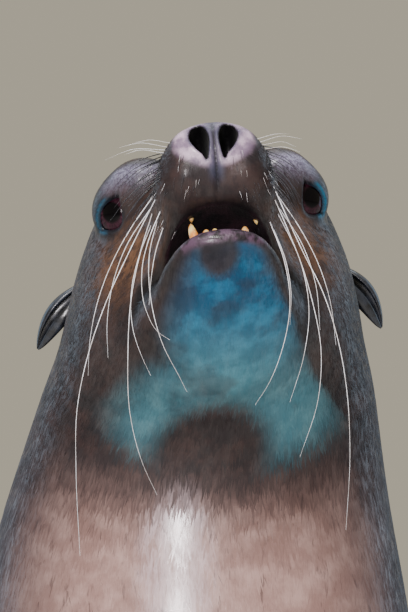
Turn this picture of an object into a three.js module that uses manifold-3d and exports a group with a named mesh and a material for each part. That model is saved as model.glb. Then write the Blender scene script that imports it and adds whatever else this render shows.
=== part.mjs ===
// A California sea lion, life size, sitting up on its fore flippers with its head thrown back
// and its mouth a little open.
//
// Millimetres, +Z up. The animal faces -Y and its left side is at +X. It rests on Z = 0, and the
// origin is on the floor under the middle of its bounding box.
//
// Head, neck, trunk and tail are one loft along a bent spine, parted by thin cuts. Whisker pads,
// brows and lids are joined to it, and the lower jaw, ears and limbs are let into it. Every solid
// is laid out straight, and its points are then turned with the head on the neck.

import * as THREE from 'three';
import { LoftGeometry } from 'three/addons/geometries/LoftGeometry.js';
import { mergeVertices } from 'three/addons/utils/BufferGeometryUtils.js';
import Module from 'manifold-3d';

const wasm = await Module();
wasm.setup();

// ---------------------------------------------------------------- driving dimensions

const GAP = 0.3; // left between neighbouring pieces
const NOSE_HEIGHT = 935; // of the nostrils above the floor
const SPINE_LENGTH = 1590; // from the nostrils to the tip of the tail, along the spine

// How steeply the spine runs down towards the tail, in degrees below level.
const SPINE = [
  { at: 0, slope: 34 },
  { at: 160, slope: 34 }, // the skull is straight
  { at: 280, slope: 64 }, // bend of the nape
  { at: 400, slope: 90 },
  { at: 540, slope: 87 },
  { at: 680, slope: 72 },
  { at: 820, slope: 48 }, // withers
  { at: 950, slope: 28 },
  { at: 1080, slope: 14 }, // loins
  { at: 1250, slope: 5 },
  { at: 1400, slope: 8 }, // rump
  { at: 1500, slope: 16 },
  { at: SPINE_LENGTH, slope: 16 },
];

// Cross-sections of head, neck, trunk and tail: distance behind the nostrils, height of the back
// and depth of the belly from the spine, half the width, the height where they are widest, and how
// square they are (2 is an ellipse). Before the corner of the mouth the belly line is the palate.
const BODY = [
  { at: 0, back: 12, belly: -11, half: 18, widest: 0, box: 2 },
  { at: 3, back: 15.5, belly: -18, half: 24, widest: 0, box: 2 },
  { at: 8, back: 18, belly: -22, half: 28, widest: -1, box: 2.1 },
  { at: 16, back: 20, belly: -25, half: 31, widest: -3, box: 2.2 },
  { at: 32, back: 23, belly: -30, half: 35, widest: -8, box: 2.3 },
  { at: 54, back: 28, belly: -35, half: 40, widest: -12, box: 2.4 },
  { at: 74, back: 35, belly: -38, half: 47, widest: -10, box: 2.5 }, // stop
  { at: 90, back: 43, belly: -42, half: 58, widest: -4, box: 2.6 },
  { at: 104, back: 51, belly: -48, half: 68, widest: 2, box: 2.6 }, // eyes
  { at: 120, back: 58, belly: -60, half: 78, widest: 1, box: 2.5 },
  { at: 142, back: 64, belly: -75, half: 86, widest: -4, box: 2.3 }, // cheeks
  { at: 168, back: 68, belly: -84, half: 93, widest: -10, box: 2.2 },
  { at: 195, back: 71, belly: -92, half: 98, widest: -14, box: 2.1 }, // ears
  { at: 225, back: 75, belly: -99, half: 103, widest: -16, box: 2 },
  { at: 260, back: 81, belly: -105, half: 111, widest: -14, box: 2 },
  { at: 310, back: 91, belly: -112, half: 121, widest: -8, box: 2 },
  { at: 370, back: 103, belly: -122, half: 134, widest: -4, box: 2 }, // neck
  { at: 440, back: 116, belly: -137, half: 146, widest: -2, box: 2.1 },
  { at: 540, back: 132, belly: -153, half: 162, widest: 0, box: 2.15 }, // shoulders
  { at: 660, back: 143, belly: -161, half: 171, widest: 0, box: 2.2 },
  { at: 800, back: 146, belly: -157, half: 169, widest: -4, box: 2.2 },
  { at: 940, back: 140, belly: -143, half: 159, widest: -10, box: 2.1 },
  { at: 1080, back: 125, belly: -126, half: 146, widest: -18, box: 2.1 },
  { at: 1220, back: 104, belly: -108, half: 131, widest: -20, box: 2.1 },
  { at: 1340, back: 82, belly: -92, half: 113, widest: -16, box: 2.1 }, // hips
  { at: 1430, back: 63, belly: -76, half: 90, widest: -8, box: 2 },
  { at: 1475, back: 48, belly: -60, half: 68, widest: -4, box: 2 },
  { at: 1505, back: 30, belly: -40, half: 42, widest: -2, box: 2 }, // root of the tail
  { at: 1525, back: 18, belly: -25, half: 27, widest: 0, box: 2 },
  { at: 1550, back: 12, belly: -16, half: 20, widest: 0, box: 2 },
  { at: 1575, back: 7, belly: -10, half: 14, widest: 0, box: 2 },
  { at: SPINE_LENGTH, back: 3, belly: -4, half: 7, widest: 0, box: 2 },
];
const BODY_SIDES = 24;
const BODY_RINGS = [
  { to: 44, step: 12 },
  { to: 152, step: 16 },
  { to: 220, step: 25 },
  { to: 440, step: 44 },
  { to: 1360, step: 84 },
  { to: 1470, step: 34 },
  { to: 1585, step: 23 },
];

// Cuts between the pieces, by distance along the spine.
const CUTS = { head: 205, neck: 402, chest: 700, belly: 1010, loins: 1290, hips: 1503 };

// On the head, places are given as distance back from the nostrils, height over the spine and
// distance to the side. Ovals have half their length, height and width.
const WHISKER_PAD = { back: 43, up: -17.5, side: 19.5, length: 38, height: 20, width: 21.5 };
const BROW = { back: 98, up: 23, side: 43, length: 38, height: 23, width: 28 };
const NOSE_PAD = { topBack: 17, top: 20, bottomBack: 3, bottom: -22 };
const NOSTRIL = { back: -1, up: 1, side: 9.8, length: 9.5, height: 11.5, width: 6.4, splay: 14 };
const MOUTH = { back: 74, up: -42, length: 52, height: 15, width: 25 };
const EYE = { back: 102, up: 18.5, side: 54.5, radius: 19.5, lid: 3, room: 1.5 };
const LID_OPENING = { out: 0.86, forward: 0.5, from: 8, to: 34, at: 16, long: 14.5, high: 10.7 };
const EAR = { back: 205, up: 21, side: 89, buried: 6, length: 44, width: 17, thickness: 7, wall: 0.55 };
const EAR_WAY = { out: 0.5, back: 0.7, down: 0.5 };

// The lower jaw, hanging open: distance behind the nostrils, the lip's height, the underside, and
// half the width.
const JAW = [
  { at: 19, lip: -57, under: -62, half: 6 },
  { at: 21, lip: -54, under: -66, half: 13 },
  { at: 27, lip: -52, under: -69, half: 20 },
  { at: 38, lip: -51, under: -71, half: 26 },
  { at: 56, lip: -48, under: -72, half: 33 },
  { at: 80, lip: -44, under: -72, half: 41 },
  { at: 104, lip: -39, under: -74, half: 48 },
  { at: 126, lip: -36, under: -76, half: 51 },
  { at: 146, lip: -40, under: -75, half: 44 },
  { at: 170, lip: -50, under: -70, half: 24 },
];
const CANINE = { back: 31, up: -54, side: 16.5, radius: 3.4, height: 15 };
const INCISOR = { back: 27, up: -54, sides: [-9, -3, 3, 9], radius: 2.4, height: 6 };
const TOOTH = { outward: 0.12, backward: 1.5, taper: 0.8 };

// Turn of the head on the neck.
const TURN = { tilt: 4.4, yaw: 3, shift: 11, from: 670, to: 860, pivot: [0, -230, 800] };

// ---------------------------------------------------------------- smooth values between stations

// A monotone cubic through the stations' values of one key, as a function of distance.
function profile(stations, key) {
  const x = stations.map((s) => s.at);
  const y = stations.map((s) => s[key]);
  const rise = x.slice(1).map((_, i) => (y[i + 1] - y[i]) / (x[i + 1] - x[i]));
  const slope = x.map((_, i) => {
    if (i === 0) return rise[0];
    if (i === x.length - 1) return rise[i - 1];
    const [before, after] = [rise[i - 1], rise[i]];
    return before * after <= 0 ? 0 : (2 * before * after) / (before + after);
  });
  return (at) => {
    const t = Math.min(Math.max(at, x[0]), x[x.length - 1]);
    const i = Math.max(x.findIndex((v) => v >= t) - 1, 0);
    const span = x[i + 1] - x[i];
    const u = (t - x[i]) / span;
    const [a, b] = [1 - u, u];
    return a * a * (1 + 2 * u) * y[i] + b * b * (3 - 2 * u) * y[i + 1]
      + span * u * a * (a * slope[i] - u * slope[i + 1]);
  };
}

function profiles(stations, ...keys) {
  return Object.fromEntries(keys.map((key) => [key, profile(stations, key)]));
}

// ---------------------------------------------------------------- solids

const vector = (x, y, z) => new THREE.Vector3(x, y, z);
const rad = THREE.MathUtils.degToRad;
const X_AXIS = vector(1, 0, 0);

// Turns, tilts and shifts a point of the head, less and less down the neck.
function turnHead(point) {
  const share = THREE.MathUtils.smoothstep(point.z, TURN.from, TURN.to);
  const pivot = vector(...TURN.pivot);
  return point.clone().sub(pivot)
    .applyAxisAngle(vector(0, 0, 1), rad(TURN.yaw) * share)
    .applyAxisAngle(vector(0, 1, 0), rad(-TURN.tilt) * share)
    .add(pivot)
    .addScaledVector(X_AXIS, TURN.shift * share);
}

// A solid from closed geometry, with its head turned.
function toSolid(geometry) {
  const plain = new THREE.BufferGeometry();
  const position = geometry.getAttribute('position');
  for (let i = 0; i < position.count; i += 1) {
    const turned = turnHead(vector(0, 0, 0).fromBufferAttribute(position, i));
    position.setXYZ(i, turned.x, turned.y, turned.z);
  }
  plain.setAttribute('position', position);
  plain.setIndex(geometry.getIndex());
  const { attributes, index } = mergeVertices(plain, 1e-3);
  const triVerts = Uint32Array.from(index.array);
  const vertProperties = attributes.position.array;
  return new wasm.Manifold(new wasm.Mesh({ numProp: 3, vertProperties, triVerts }));
}

// A closed loft through rings of points. For side -1 it is mirrored to the animal's right.
function loft(rings, side = 1) {
  const mirror = (ring) => ring.map((p) => vector(-p.x, p.y, p.z)).reverse();
  const placed = side > 0 ? rings : rings.map(mirror);
  return toSolid(new LoftGeometry(placed, { closed: true, capStart: true, capEnd: true }));
}

// An oval of points about a centre: across is its long axis, and along the loft's direction.
function oval(centre, across, along, { wide, thick, sides }) {
  const up = vector(0, 0, 0).crossVectors(across, along).normalize();
  return Array.from({ length: sides }, (_, k) => {
    const turn = (-2 * Math.PI * k) / sides;
    return centre.clone()
      .addScaledVector(across, wide * Math.cos(turn))
      .addScaledVector(up, thick * Math.sin(turn));
  });
}

// What lies on the side of a plane that its normal points to, or on the other side.
const keepAbove = (piece, plane, gap) => piece.trimByPlane(plane.normal.toArray(), plane.offset + gap);
const keepBelow = (piece, plane, gap) => (
  piece.trimByPlane(plane.normal.clone().negate().toArray(), gap - plane.offset)
);
const planeAt = (normal, point) => ({ normal, offset: normal.dot(point) });

// The plane through a point that runs across the animal and along a given direction.
function planeAcross(point, direction) {
  const corners = [point, point.clone().add(X_AXIS), point.clone().add(direction)];
  const [here, aside, ahead] = corners.map(turnHead);
  const normal = vector(0, 0, 0).crossVectors(ahead.sub(here), aside.sub(here)).normalize();
  return planeAt(normal, here);
}
const onFloor = (piece) => piece.trimByPlane([0, 0, 1], 0);

// ---------------------------------------------------------------- the spine

const spineSlope = profile(SPINE, 'slope');
const spinePoints = [vector(0, -430, NOSE_HEIGHT)];
for (let s = 0; s < SPINE_LENGTH; s += 1) {
  const slope = rad(spineSlope(s + 0.5));
  spinePoints.push(spinePoints[s].clone().add(vector(0, Math.cos(slope), -Math.sin(slope))));
}

// The place on the spine, and the directions back along it and out through the animal's back.
function spineFrame(at) {
  const low = Math.min(Math.max(Math.floor(at), 0), SPINE_LENGTH - 1);
  const centre = spinePoints[low].clone().lerp(spinePoints[low + 1], at - low);
  const slope = rad(spineSlope(at));
  const along = vector(0, Math.cos(slope), -Math.sin(slope));
  return { centre, along, up: vector(0, 0, 0).crossVectors(X_AXIS, along) };
}

// A place on the skull, or a ball stretched to an oval there.
const SKULL = spineFrame(0);
function onSkull(back, up, side) {
  return SKULL.centre.clone()
    .addScaledVector(SKULL.along, back)
    .addScaledVector(SKULL.up, up)
    .addScaledVector(X_AXIS, side);
}

function ball(place, { width, length, height }, { splay = 0, detail = 12 } = {}) {
  const basis = new THREE.Matrix4().makeBasis(X_AXIS, SKULL.along, SKULL.up).setPosition(place);
  const geometry = new THREE.SphereGeometry(1, detail, Math.round(detail * 0.6));
  geometry.rotateX(Math.PI / 2);
  geometry.scale(width, length, height);
  geometry.rotateY(rad(splay));
  geometry.applyMatrix4(basis);
  return toSolid(geometry);
}

// ---------------------------------------------------------------- head, neck, trunk and tail

const body = profiles(BODY, 'back', 'belly', 'half', 'widest', 'box');

// A cosine or sine drawn outwards, which squares an oval as its power grows past 2.
const squared = (value, power) => Math.sign(value) * Math.abs(value) ** (2 / power);

function bodyRing(at, grown) {
  const { centre, up } = spineFrame(at);
  const keys = ['back', 'belly', 'half', 'widest', 'box'];
  const [back, belly, half, widest, box] = keys.map((key) => body[key](at));
  return Array.from({ length: BODY_SIDES }, (_, k) => {
    const turn = (-2 * Math.PI * k) / BODY_SIDES;
    const reach = Math.sin(turn) > 0 ? back - widest : widest - belly;
    return centre.clone()
      .addScaledVector(X_AXIS, (half + grown) * squared(Math.cos(turn), box))
      .addScaledVector(up, widest + (reach + grown) * squared(Math.sin(turn), box));
  });
}

function bodyStations() {
  const stations = [0, 3];
  let at = 8;
  for (const { to, step } of BODY_RINGS) {
    for (; at <= to; at += step) stations.push(at);
    at = stations[stations.length - 1] + step;
  }
  stations.push(SPINE_LENGTH);
  return stations;
}

const wholeBody = (grown = 0) => loft(bodyStations().map((at) => bodyRing(at, grown)));
const spinePlane = (at) => planeAcross(spineFrame(at).centre, spineFrame(at).up);

// The stretch of the body between two cuts.
function stretch(piece, from, to) {
  const behind = from === undefined ? piece : keepAbove(piece, spinePlane(from), GAP / 2);
  return to === undefined ? behind : keepBelow(behind, spinePlane(to), GAP / 2);
}

// ---------------------------------------------------------------- parts of the head

const bothSides = (make) => [1, -1].map(make);
const join = (pieces) => pieces.reduce((whole, piece) => whole.add(piece));

function whiskerPad(side) {
  const { back, up, length, height, width } = WHISKER_PAD;
  return ball(onSkull(back, up, side * WHISKER_PAD.side), { width, length, height }, { detail: 14 });
}

function brow(side) {
  const { back, up, length, height, width } = BROW;
  return ball(onSkull(back, up, side * BROW.side), { width, length, height });
}

const eyePlace = (side) => onSkull(EYE.back, EYE.up, side * EYE.side);
const round = (radius) => ({ width: radius, length: radius, height: radius });
const eyeball = (side) => ball(eyePlace(side), round(EYE.radius), { detail: 14 });
const socket = (side) => ball(eyePlace(side), round(EYE.radius + EYE.room));
const lids = (side) => ball(eyePlace(side), round(EYE.radius + EYE.lid));

// The opening between the lids widens outwards from the eye.
function lidOpening(side) {
  const { out, forward, from, to, at, long, high } = LID_OPENING;
  const gaze = vector(side * out, 0, 0).addScaledVector(SKULL.along, -forward).normalize();
  const across = SKULL.along.clone().addScaledVector(gaze, -SKULL.along.dot(gaze)).normalize();
  const rings = [from, to].map((reach) => {
    const centre = eyePlace(side).addScaledVector(gaze, reach);
    const size = { wide: (long * reach) / at, thick: (high * reach) / at, sides: 12 };
    return oval(centre, across, gaze, size);
  });
  return loft(rings);
}

function nostril(side) {
  const { back, up, length, height, width, splay } = NOSTRIL;
  const place = onSkull(back, up, side * NOSTRIL.side);
  return ball(place, { width, length, height }, { splay: side * splay, detail: 10 });
}

const mouth = () => ball(onSkull(MOUTH.back, MOUTH.up, 0), MOUTH);

function jawLoft() {
  return loft(JAW.map(({ at, lip, under, half }) => {
    const centre = onSkull(at, (lip + under) / 2, 0);
    return oval(centre, X_AXIS, SKULL.along, { wide: half, thick: (lip - under) / 2, sides: 14 });
  }));
}

// A tooth is a tapering loft that leans outwards.
function tooth({ back, up, radius, height }, side, grown = 0) {
  const lean = Math.sign(side) * TOOTH.outward * height;
  const rings = [0, 0.5, 1].map((t) => {
    const centre = onSkull(back + TOOTH.backward * t, up + height * t, side + lean * t);
    const thick = radius * (1 - TOOTH.taper * t * t) + grown;
    return oval(centre, X_AXIS.clone().negate(), SKULL.up, { wide: thick, thick, sides: 6 });
  });
  return loft(rings);
}

const canine = (side, grown = 0) => tooth(CANINE, side * CANINE.side, grown);

// How full a leaf is along its length: widest before the middle, and closed to a blunt point.
const leaf = (t) => Math.sqrt(Math.max(1 - t ** 2.2, 0.03)) * (0.75 + 0.9 * t * (1 - t));

// The ear is a small rolled leaf: a crescent that narrows to a point and opens backwards.
function ear(side) {
  const along = vector(EAR_WAY.out, 0, 0)
    .addScaledVector(SKULL.along, EAR_WAY.back)
    .addScaledVector(SKULL.up, -EAR_WAY.down)
    .normalize();
  const across = SKULL.up.clone().addScaledVector(along, -SKULL.up.dot(along)).normalize();
  const out = vector(0, 0, 0).crossVectors(across, along).normalize();
  const root = onSkull(EAR.back, EAR.up, EAR.side).addScaledVector(along, -EAR.buried);
  const turns = Array.from({ length: 6 }, (_, k) => (Math.PI * k) / 5);
  const rings = [0, 0.3, 0.6, 0.85, 1].map((t) => {
    const centre = root.clone().addScaledVector(along, EAR.length * t);
    const rim = (thick, turn) => centre.clone()
      .addScaledVector(across, (EAR.width / 2) * leaf(t) * Math.cos(turn))
      .addScaledVector(out, thick * leaf(t) * Math.sin(turn));
    const outer = turns.map((turn) => rim(EAR.thickness, -turn));
    const hollow = turns.slice(1, -1).reverse().map((turn) => rim(EAR.thickness * (1 - EAR.wall), -turn));
    return [...outer, ...hollow];
  });
  return loft(rings, side);
}

// ---------------------------------------------------------------- limbs

// A limb is a loft along stations that give the centre, the direction of the front edge, how far
// the limb reaches to its front and back edges, and half its thickness.
const FORE_LIMB = [
  { at: 0, centre: [85, -140, 345], fore: [0, -1, 0], lead: 84, trail: 110, thick: 60 },
  { at: 1, centre: [124, -140, 262], fore: [0, -1, 0], lead: 80, trail: 100, thick: 56 },
  { at: 2, centre: [156, -140, 180], fore: [0.1, -1, 0], lead: 70, trail: 82, thick: 48 },
  { at: 3, centre: [180, -142, 108], fore: [0.25, -1, 0], lead: 60, trail: 66, thick: 39 },
  { at: 4, centre: [199, -138, 52], fore: [0.45, -0.9, 0], lead: 56, trail: 61, thick: 31 }, // wrist
  { at: 5, centre: [224, -122, 22.5], fore: [0.62, -0.78, 0], lead: 58, trail: 66, thick: 23 },
  { at: 6, centre: [254, -91, 14.5], fore: [0.72, -0.69, 0], lead: 61, trail: 74, thick: 17.5 },
  { at: 7, centre: [289, -46, 11], fore: [0.79, -0.61, 0], lead: 61, trail: 78, thick: 13.5 },
  { at: 8, centre: [321, 3, 9], fore: [0.83, -0.56, 0], lead: 56, trail: 74, thick: 11 },
  { at: 9, centre: [349, 52, 7], fore: [0.87, -0.49, 0], lead: 47, trail: 62, thick: 9 },
  { at: 10, centre: [369, 95, 6], fore: [0.92, -0.39, 0], lead: 35, trail: 40, thick: 7 },
  { at: 11, centre: [380, 126, 5], fore: [0.95, -0.3, 0], lead: 20, trail: 18, thick: 5 },
  { at: 11.6, centre: [384, 140, 4], fore: [0.97, -0.25, 0], lead: 7, trail: 6, thick: 3.5 }, // tip
];
const WRIST = { point: [194, -140, 72], normal: [0.35, 0.2, -0.9] };
const BACK_EDGE_THINNING = 0.35;

// The thickness is drawn forwards, so that the front edge is round and the back edge thin.
function limbRing({ centre, along, fore, lead, trail, thick }, sides) {
  const up = vector(0, 0, 0).crossVectors(fore, along).normalize();
  return Array.from({ length: sides }, (_, k) => {
    const turn = (-2 * Math.PI * k) / sides;
    const across = Math.cos(turn);
    const taper = across < 0 ? 1 - BACK_EDGE_THINNING * across * across : 1;
    return centre.clone()
      .addScaledVector(fore, across > 0 ? lead * across : trail * across)
      .addScaledVector(up, thick * taper * Math.sin(turn));
  });
}

function limb(stations, count, sides, side) {
  const values = profiles(stations, 'lead', 'trail', 'thick');
  const spread = (key) => stations.map((s) => ({ at: s.at, x: s[key][0], y: s[key][1], z: s[key][2] }));
  const path = profiles(spread('centre'), 'x', 'y', 'z');
  const edge = profiles(spread('fore'), 'x', 'y', 'z');
  const point = (curve, at) => vector(curve.x(at), curve.y(at), curve.z(at));
  const end = stations[stations.length - 1].at;
  const rings = Array.from({ length: count + 1 }, (_, i) => {
    const at = (end * i) / count;
    const [behind, ahead] = [Math.max(at - 0.05, 0), Math.min(at + 0.05, end)];
    const along = point(path, ahead).sub(point(path, behind)).normalize();
    const across = point(edge, at);
    const fore = across.addScaledVector(along, -across.dot(along)).normalize();
    const sizes = { lead: values.lead(at), trail: values.trail(at), thick: values.thick(at) };
    return limbRing({ centre: point(path, at), along, fore, ...sizes }, sides);
  });
  return loft(rings, side);
}

// The cut across a limb at its wrist or ankle, mirrored for side -1.
function jointPlane({ point, normal }, side) {
  const mirrored = ([x, y, z]) => vector(side * x, y, z);
  return planeAt(mirrored(normal).normalize(), mirrored(point));
}

function foreLimb(side) {
  const whole = onFloor(limb(FORE_LIMB, 12, 14, side)).subtract(trunkRoom);
  const wrist = jointPlane(WRIST, side);
  return { arm: keepBelow(whole, wrist, GAP / 2), hand: keepAbove(whole, wrist, GAP / 2) };
}

// The shank leaves the hips backwards, and the foot is turned forwards beside the tail.
const SHANK = [
  { at: 0, centre: [48, 395, 88], fore: [1, 0.2, 0], lead: 56, trail: 44, thick: 62 },
  { at: 1, centre: [66, 440, 76], fore: [1, 0.1, 0], lead: 52, trail: 40, thick: 52 },
  { at: 2, centre: [88, 482, 56], fore: [1, 0, 0], lead: 42, trail: 36, thick: 40 },
  { at: 3, centre: [104, 508, 40], fore: [1, -0.2, 0], lead: 30, trail: 30, thick: 30 },
  { at: 3.6, centre: [112, 520, 34], fore: [1, -0.3, 0], lead: 17, trail: 17, thick: 17 },
];
const FOOT = [
  { at: 0, centre: [100, 532, 26], fore: [1, 0.5, 0], lead: 20, trail: 20, thick: 17 }, // heel
  { at: 1, centre: [112, 512, 28], fore: [1, 0.5, 0], lead: 34, trail: 34, thick: 26 },
  { at: 2, centre: [132, 478, 21], fore: [1, 0.55, 0], lead: 40, trail: 40, thick: 22 },
  { at: 3, centre: [154, 440, 14], fore: [1, 0.6, 0], lead: 48, trail: 48, thick: 17 },
  { at: 4, centre: [176, 402, 10], fore: [1, 0.6, 0], lead: 58, trail: 58, thick: 12 },
  { at: 5, centre: [196, 368, 7], fore: [1, 0.6, 0], lead: 67, trail: 67, thick: 8 },
  { at: 6, centre: [212, 341, 5], fore: [1, 0.6, 0], lead: 68, trail: 68, thick: 4 }, // web
];
const ANKLE = { point: [124, 490, 30], normal: [0.42, -0.85, -0.3] };
const DIGITS = [-2, -1, 0, 1, 2]; // from the inner toe to the outer one
const CLAWED = [-1, 0, 1];
const DIGIT = { root: 22, spacing: 15.5, fan: 9.5, length: 190, outerLonger: 7 };
const DIGIT_SIZE = { width: 15, thick: 9, tipThick: 4.5, height: 13, tipHeight: 4 };
const CLAW = { at: 0.6, length: 15, width: 3.2, thick: 2.6, height: 13.6, tipHeight: 12.1 };

const footBack = vector(132, 478, 0);
const footWay = vector(196, 368, 0).sub(footBack).normalize();
const footSide = vector(-footWay.y, footWay.x, 0).negate();

// A toe's root and direction, on the animal's left foot.
function toe(digit) {
  const root = footBack.clone()
    .addScaledVector(footWay, DIGIT.root)
    .addScaledVector(footSide, -digit * DIGIT.spacing);
  const way = footWay.clone().applyAxisAngle(vector(0, 0, 1), rad(digit * DIGIT.fan));
  return { root, way, length: DIGIT.length + DIGIT.outerLonger * Math.abs(digit) };
}

const { lerp } = THREE.MathUtils;

function digitSolid(digit, side) {
  const { root, way, length } = toe(digit);
  const across = vector(-way.y, way.x, 0);
  const { width, thick, tipThick, height, tipHeight } = DIGIT_SIZE;
  const rings = [0, 0.55, 0.9, 1].map((t) => {
    const centre = root.clone().addScaledVector(way, length * t).setZ(lerp(height, tipHeight, t));
    const round = Math.sqrt(Math.max(1 - t ** 6, 0.06));
    const spread = 0.75 + 0.25 * Math.min(2 * t, 1);
    const size = { wide: width * round * spread, thick: lerp(thick, tipThick, t) * round, sides: 6 };
    return oval(centre, across, way, size);
  });
  return loft(rings, side);
}

// The small claws lie on top of the middle toes, far behind their tips.
function claw(digit, side, grown = 0) {
  const { root, way, length } = toe(digit);
  const across = vector(-way.y, way.x, 0);
  const rings = [0, 0.5, 1].map((t) => {
    const centre = root.clone().addScaledVector(way, length * CLAW.at + CLAW.length * t);
    const round = Math.sin(Math.PI * (0.22 + 0.7 * t)) + 0.02;
    const size = { wide: CLAW.width * round + grown, thick: CLAW.thick * round + grown, sides: 5 };
    return oval(centre.setZ(lerp(CLAW.height, CLAW.tipHeight, t)), across, way, size);
  });
  return loft(rings, side);
}

function hindLimb(side) {
  const foot = join([limb(FOOT, 5, 8, side), ...DIGITS.map((digit) => digitSolid(digit, side))]);
  const bareFoot = CLAWED.reduce((rest, digit) => rest.subtract(claw(digit, side, GAP)), foot);
  const whole = onFloor(limb(SHANK, 4, 14, side).add(bareFoot)).subtract(trunkRoom);
  const ankle = jointPlane(ANKLE, side);
  return { shank: keepBelow(whole, ankle, GAP / 2), foot: keepAbove(whole, ankle, GAP / 2) };
}

// ---------------------------------------------------------------- cutting the pieces apart

const bodyLoft = wholeBody();
const trunkRoom = wholeBody(GAP);

function wholeHead() {
  const front = stretch(bodyLoft, undefined, CUTS.head);
  const full = join([front, ...bothSides(whiskerPad), ...bothSides(brow), ...bothSides(lids)]);
  const holes = [mouth(), ...bothSides(socket), ...bothSides(lidOpening), ...bothSides(nostril)];
  return holes.reduce((rest, hole) => rest.subtract(hole), full);
}

function nosePlane() {
  const top = onSkull(NOSE_PAD.topBack, NOSE_PAD.top, 0);
  const bottom = onSkull(NOSE_PAD.bottomBack, NOSE_PAD.bottom, 0);
  return planeAcross(bottom, top.sub(bottom));
}

function lowerJaw() {
  const incisors = INCISOR.sides.map((side) => tooth(INCISOR, side));
  const room = join([trunkRoom, ...bothSides(whiskerPad), ...bothSides((side) => canine(side, GAP))]);
  return join([jawLoft().subtract(mouth()), ...incisors]).subtract(room);
}

const headSolid = wholeHead();

// Each piece with the finish it carries.
const pieces = {
  nose: [keepBelow(headSolid, nosePlane(), GAP / 2), 'bareNose'],
  head: [keepAbove(headSolid, nosePlane(), GAP / 2), 'coat'],
  lower_jaw: [lowerJaw(), 'coat'],
  neck: [stretch(bodyLoft, CUTS.head, CUTS.neck), 'coat'],
  chest: [stretch(bodyLoft, CUTS.neck, CUTS.chest), 'coat'],
  belly: [onFloor(stretch(bodyLoft, CUTS.chest, CUTS.belly)), 'coat'],
  loins: [onFloor(stretch(bodyLoft, CUTS.belly, CUTS.loins)), 'coat'],
  hips: [onFloor(stretch(bodyLoft, CUTS.loins, CUTS.hips)), 'coat'],
  tail: [onFloor(stretch(bodyLoft, CUTS.hips, undefined)), 'coat'],
};

for (const [name, side] of [['left', 1], ['right', -1]]) {
  const fore = foreLimb(side);
  const hind = hindLimb(side);
  pieces[`eye_${name}`] = [eyeball(side), 'eye'];
  pieces[`ear_${name}`] = [ear(side).subtract(trunkRoom), 'ear'];
  pieces[`canine_${name}`] = [canine(side), 'tooth'];
  pieces[`fore_limb_${name}`] = [fore.arm, 'coat'];
  pieces[`fore_flipper_${name}`] = [fore.hand, 'flipper'];
  pieces[`hind_limb_${name}`] = [hind.shank, 'coat'];
  pieces[`hind_flipper_${name}`] = [hind.foot, 'flipper'];
  for (const digit of CLAWED) pieces[`claw_${name}_${digit + 2}`] = [claw(digit, side), 'claw'];
}

// ---------------------------------------------------------------- the finished animal

const FINISHES = {
  coat: { color: 0x5b4d49, roughness: 0.45 },
  bareNose: { color: 0x8d7f8a, roughness: 0.4 },
  flipper: { color: 0x2f2a29, roughness: 0.5 },
  ear: { color: 0x37322f, roughness: 0.5 },
  eye: { color: 0x140c0a, roughness: 0.08 },
  tooth: { color: 0xe3d3a8, roughness: 0.35 },
  claw: { color: 0x2a2420, roughness: 0.4 },
};

function toMesh(name, piece, finish) {
  const { vertProperties, triVerts } = piece.getMesh();
  const geometry = new THREE.BufferGeometry();
  geometry.setAttribute('position', new THREE.BufferAttribute(Float32Array.from(vertProperties), 3));
  geometry.setIndex(new THREE.BufferAttribute(Uint32Array.from(triVerts), 1));
  const material = new THREE.MeshStandardMaterial({ metalness: 0, ...FINISHES[finish] });
  const mesh = new THREE.Mesh(geometry, material);
  mesh.name = name;
  return mesh;
}

const seaLion = new THREE.Group();
for (const [name, [piece, finish]] of Object.entries(pieces)) seaLion.add(toMesh(name, piece, finish));

const extent = new THREE.Box3().setFromObject(seaLion);
seaLion.position.y = -(extent.min.y + extent.max.y) / 2;

export default seaLion;
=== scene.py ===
"""The looks of a life-size sea lion that sits up on its fore flippers, head thrown back.

Metres, +Z up, the animal facing -Y with its left side at +X, as the solids have it. Shapes are worked
out in millimetres on a straight-headed animal, turned with the head, and then set over the solids.
"""

import math

import bmesh
import bpy
import numpy as np
import openvdb
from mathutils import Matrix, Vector
from mathutils.bvhtree import BVHTree


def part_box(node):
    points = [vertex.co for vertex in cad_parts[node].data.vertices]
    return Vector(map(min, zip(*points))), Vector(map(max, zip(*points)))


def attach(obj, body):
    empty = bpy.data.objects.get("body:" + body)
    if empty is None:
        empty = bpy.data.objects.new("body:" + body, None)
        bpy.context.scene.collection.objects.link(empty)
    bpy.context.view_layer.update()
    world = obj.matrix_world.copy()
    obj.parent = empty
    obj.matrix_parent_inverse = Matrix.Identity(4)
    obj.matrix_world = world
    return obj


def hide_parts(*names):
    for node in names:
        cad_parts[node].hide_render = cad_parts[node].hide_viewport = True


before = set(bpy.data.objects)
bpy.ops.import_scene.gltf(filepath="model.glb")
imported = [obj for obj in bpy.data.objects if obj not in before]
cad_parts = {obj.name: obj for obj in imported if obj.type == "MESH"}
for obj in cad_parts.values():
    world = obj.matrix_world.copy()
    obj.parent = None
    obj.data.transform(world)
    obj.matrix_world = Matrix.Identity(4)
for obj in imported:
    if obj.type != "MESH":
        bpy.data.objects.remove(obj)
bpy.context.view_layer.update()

# ---------------------------------------------------------------- sizes, in millimetres

COAT_DEPTH = 1.2  # from the coat's surface to the skin under it
SKIN_OVER_FLOOR = 0.2
TUFTS_OVER_FLOOR = 1.5  # no tuft is rooted lower
TIPS_OVER_FLOOR = 0.1
TUFT_COUNT, TUFT_PIECES = 144000, 3
NOSE = (-430.0, 935.0)  # y and height of the nostrils
SPINE_LENGTH = 1590

# Slope of the spine below level, in degrees, by distance behind the nostrils.
SPINE = {
    "at": [0, 160, 280, 400, 540, 680, 820, 950, 1080, 1250, 1400, 1500, 1590],
    "slope": [34, 34, 64, 90, 87, 72, 48, 28, 14, 5, 8, 16, 16],
}

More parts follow.
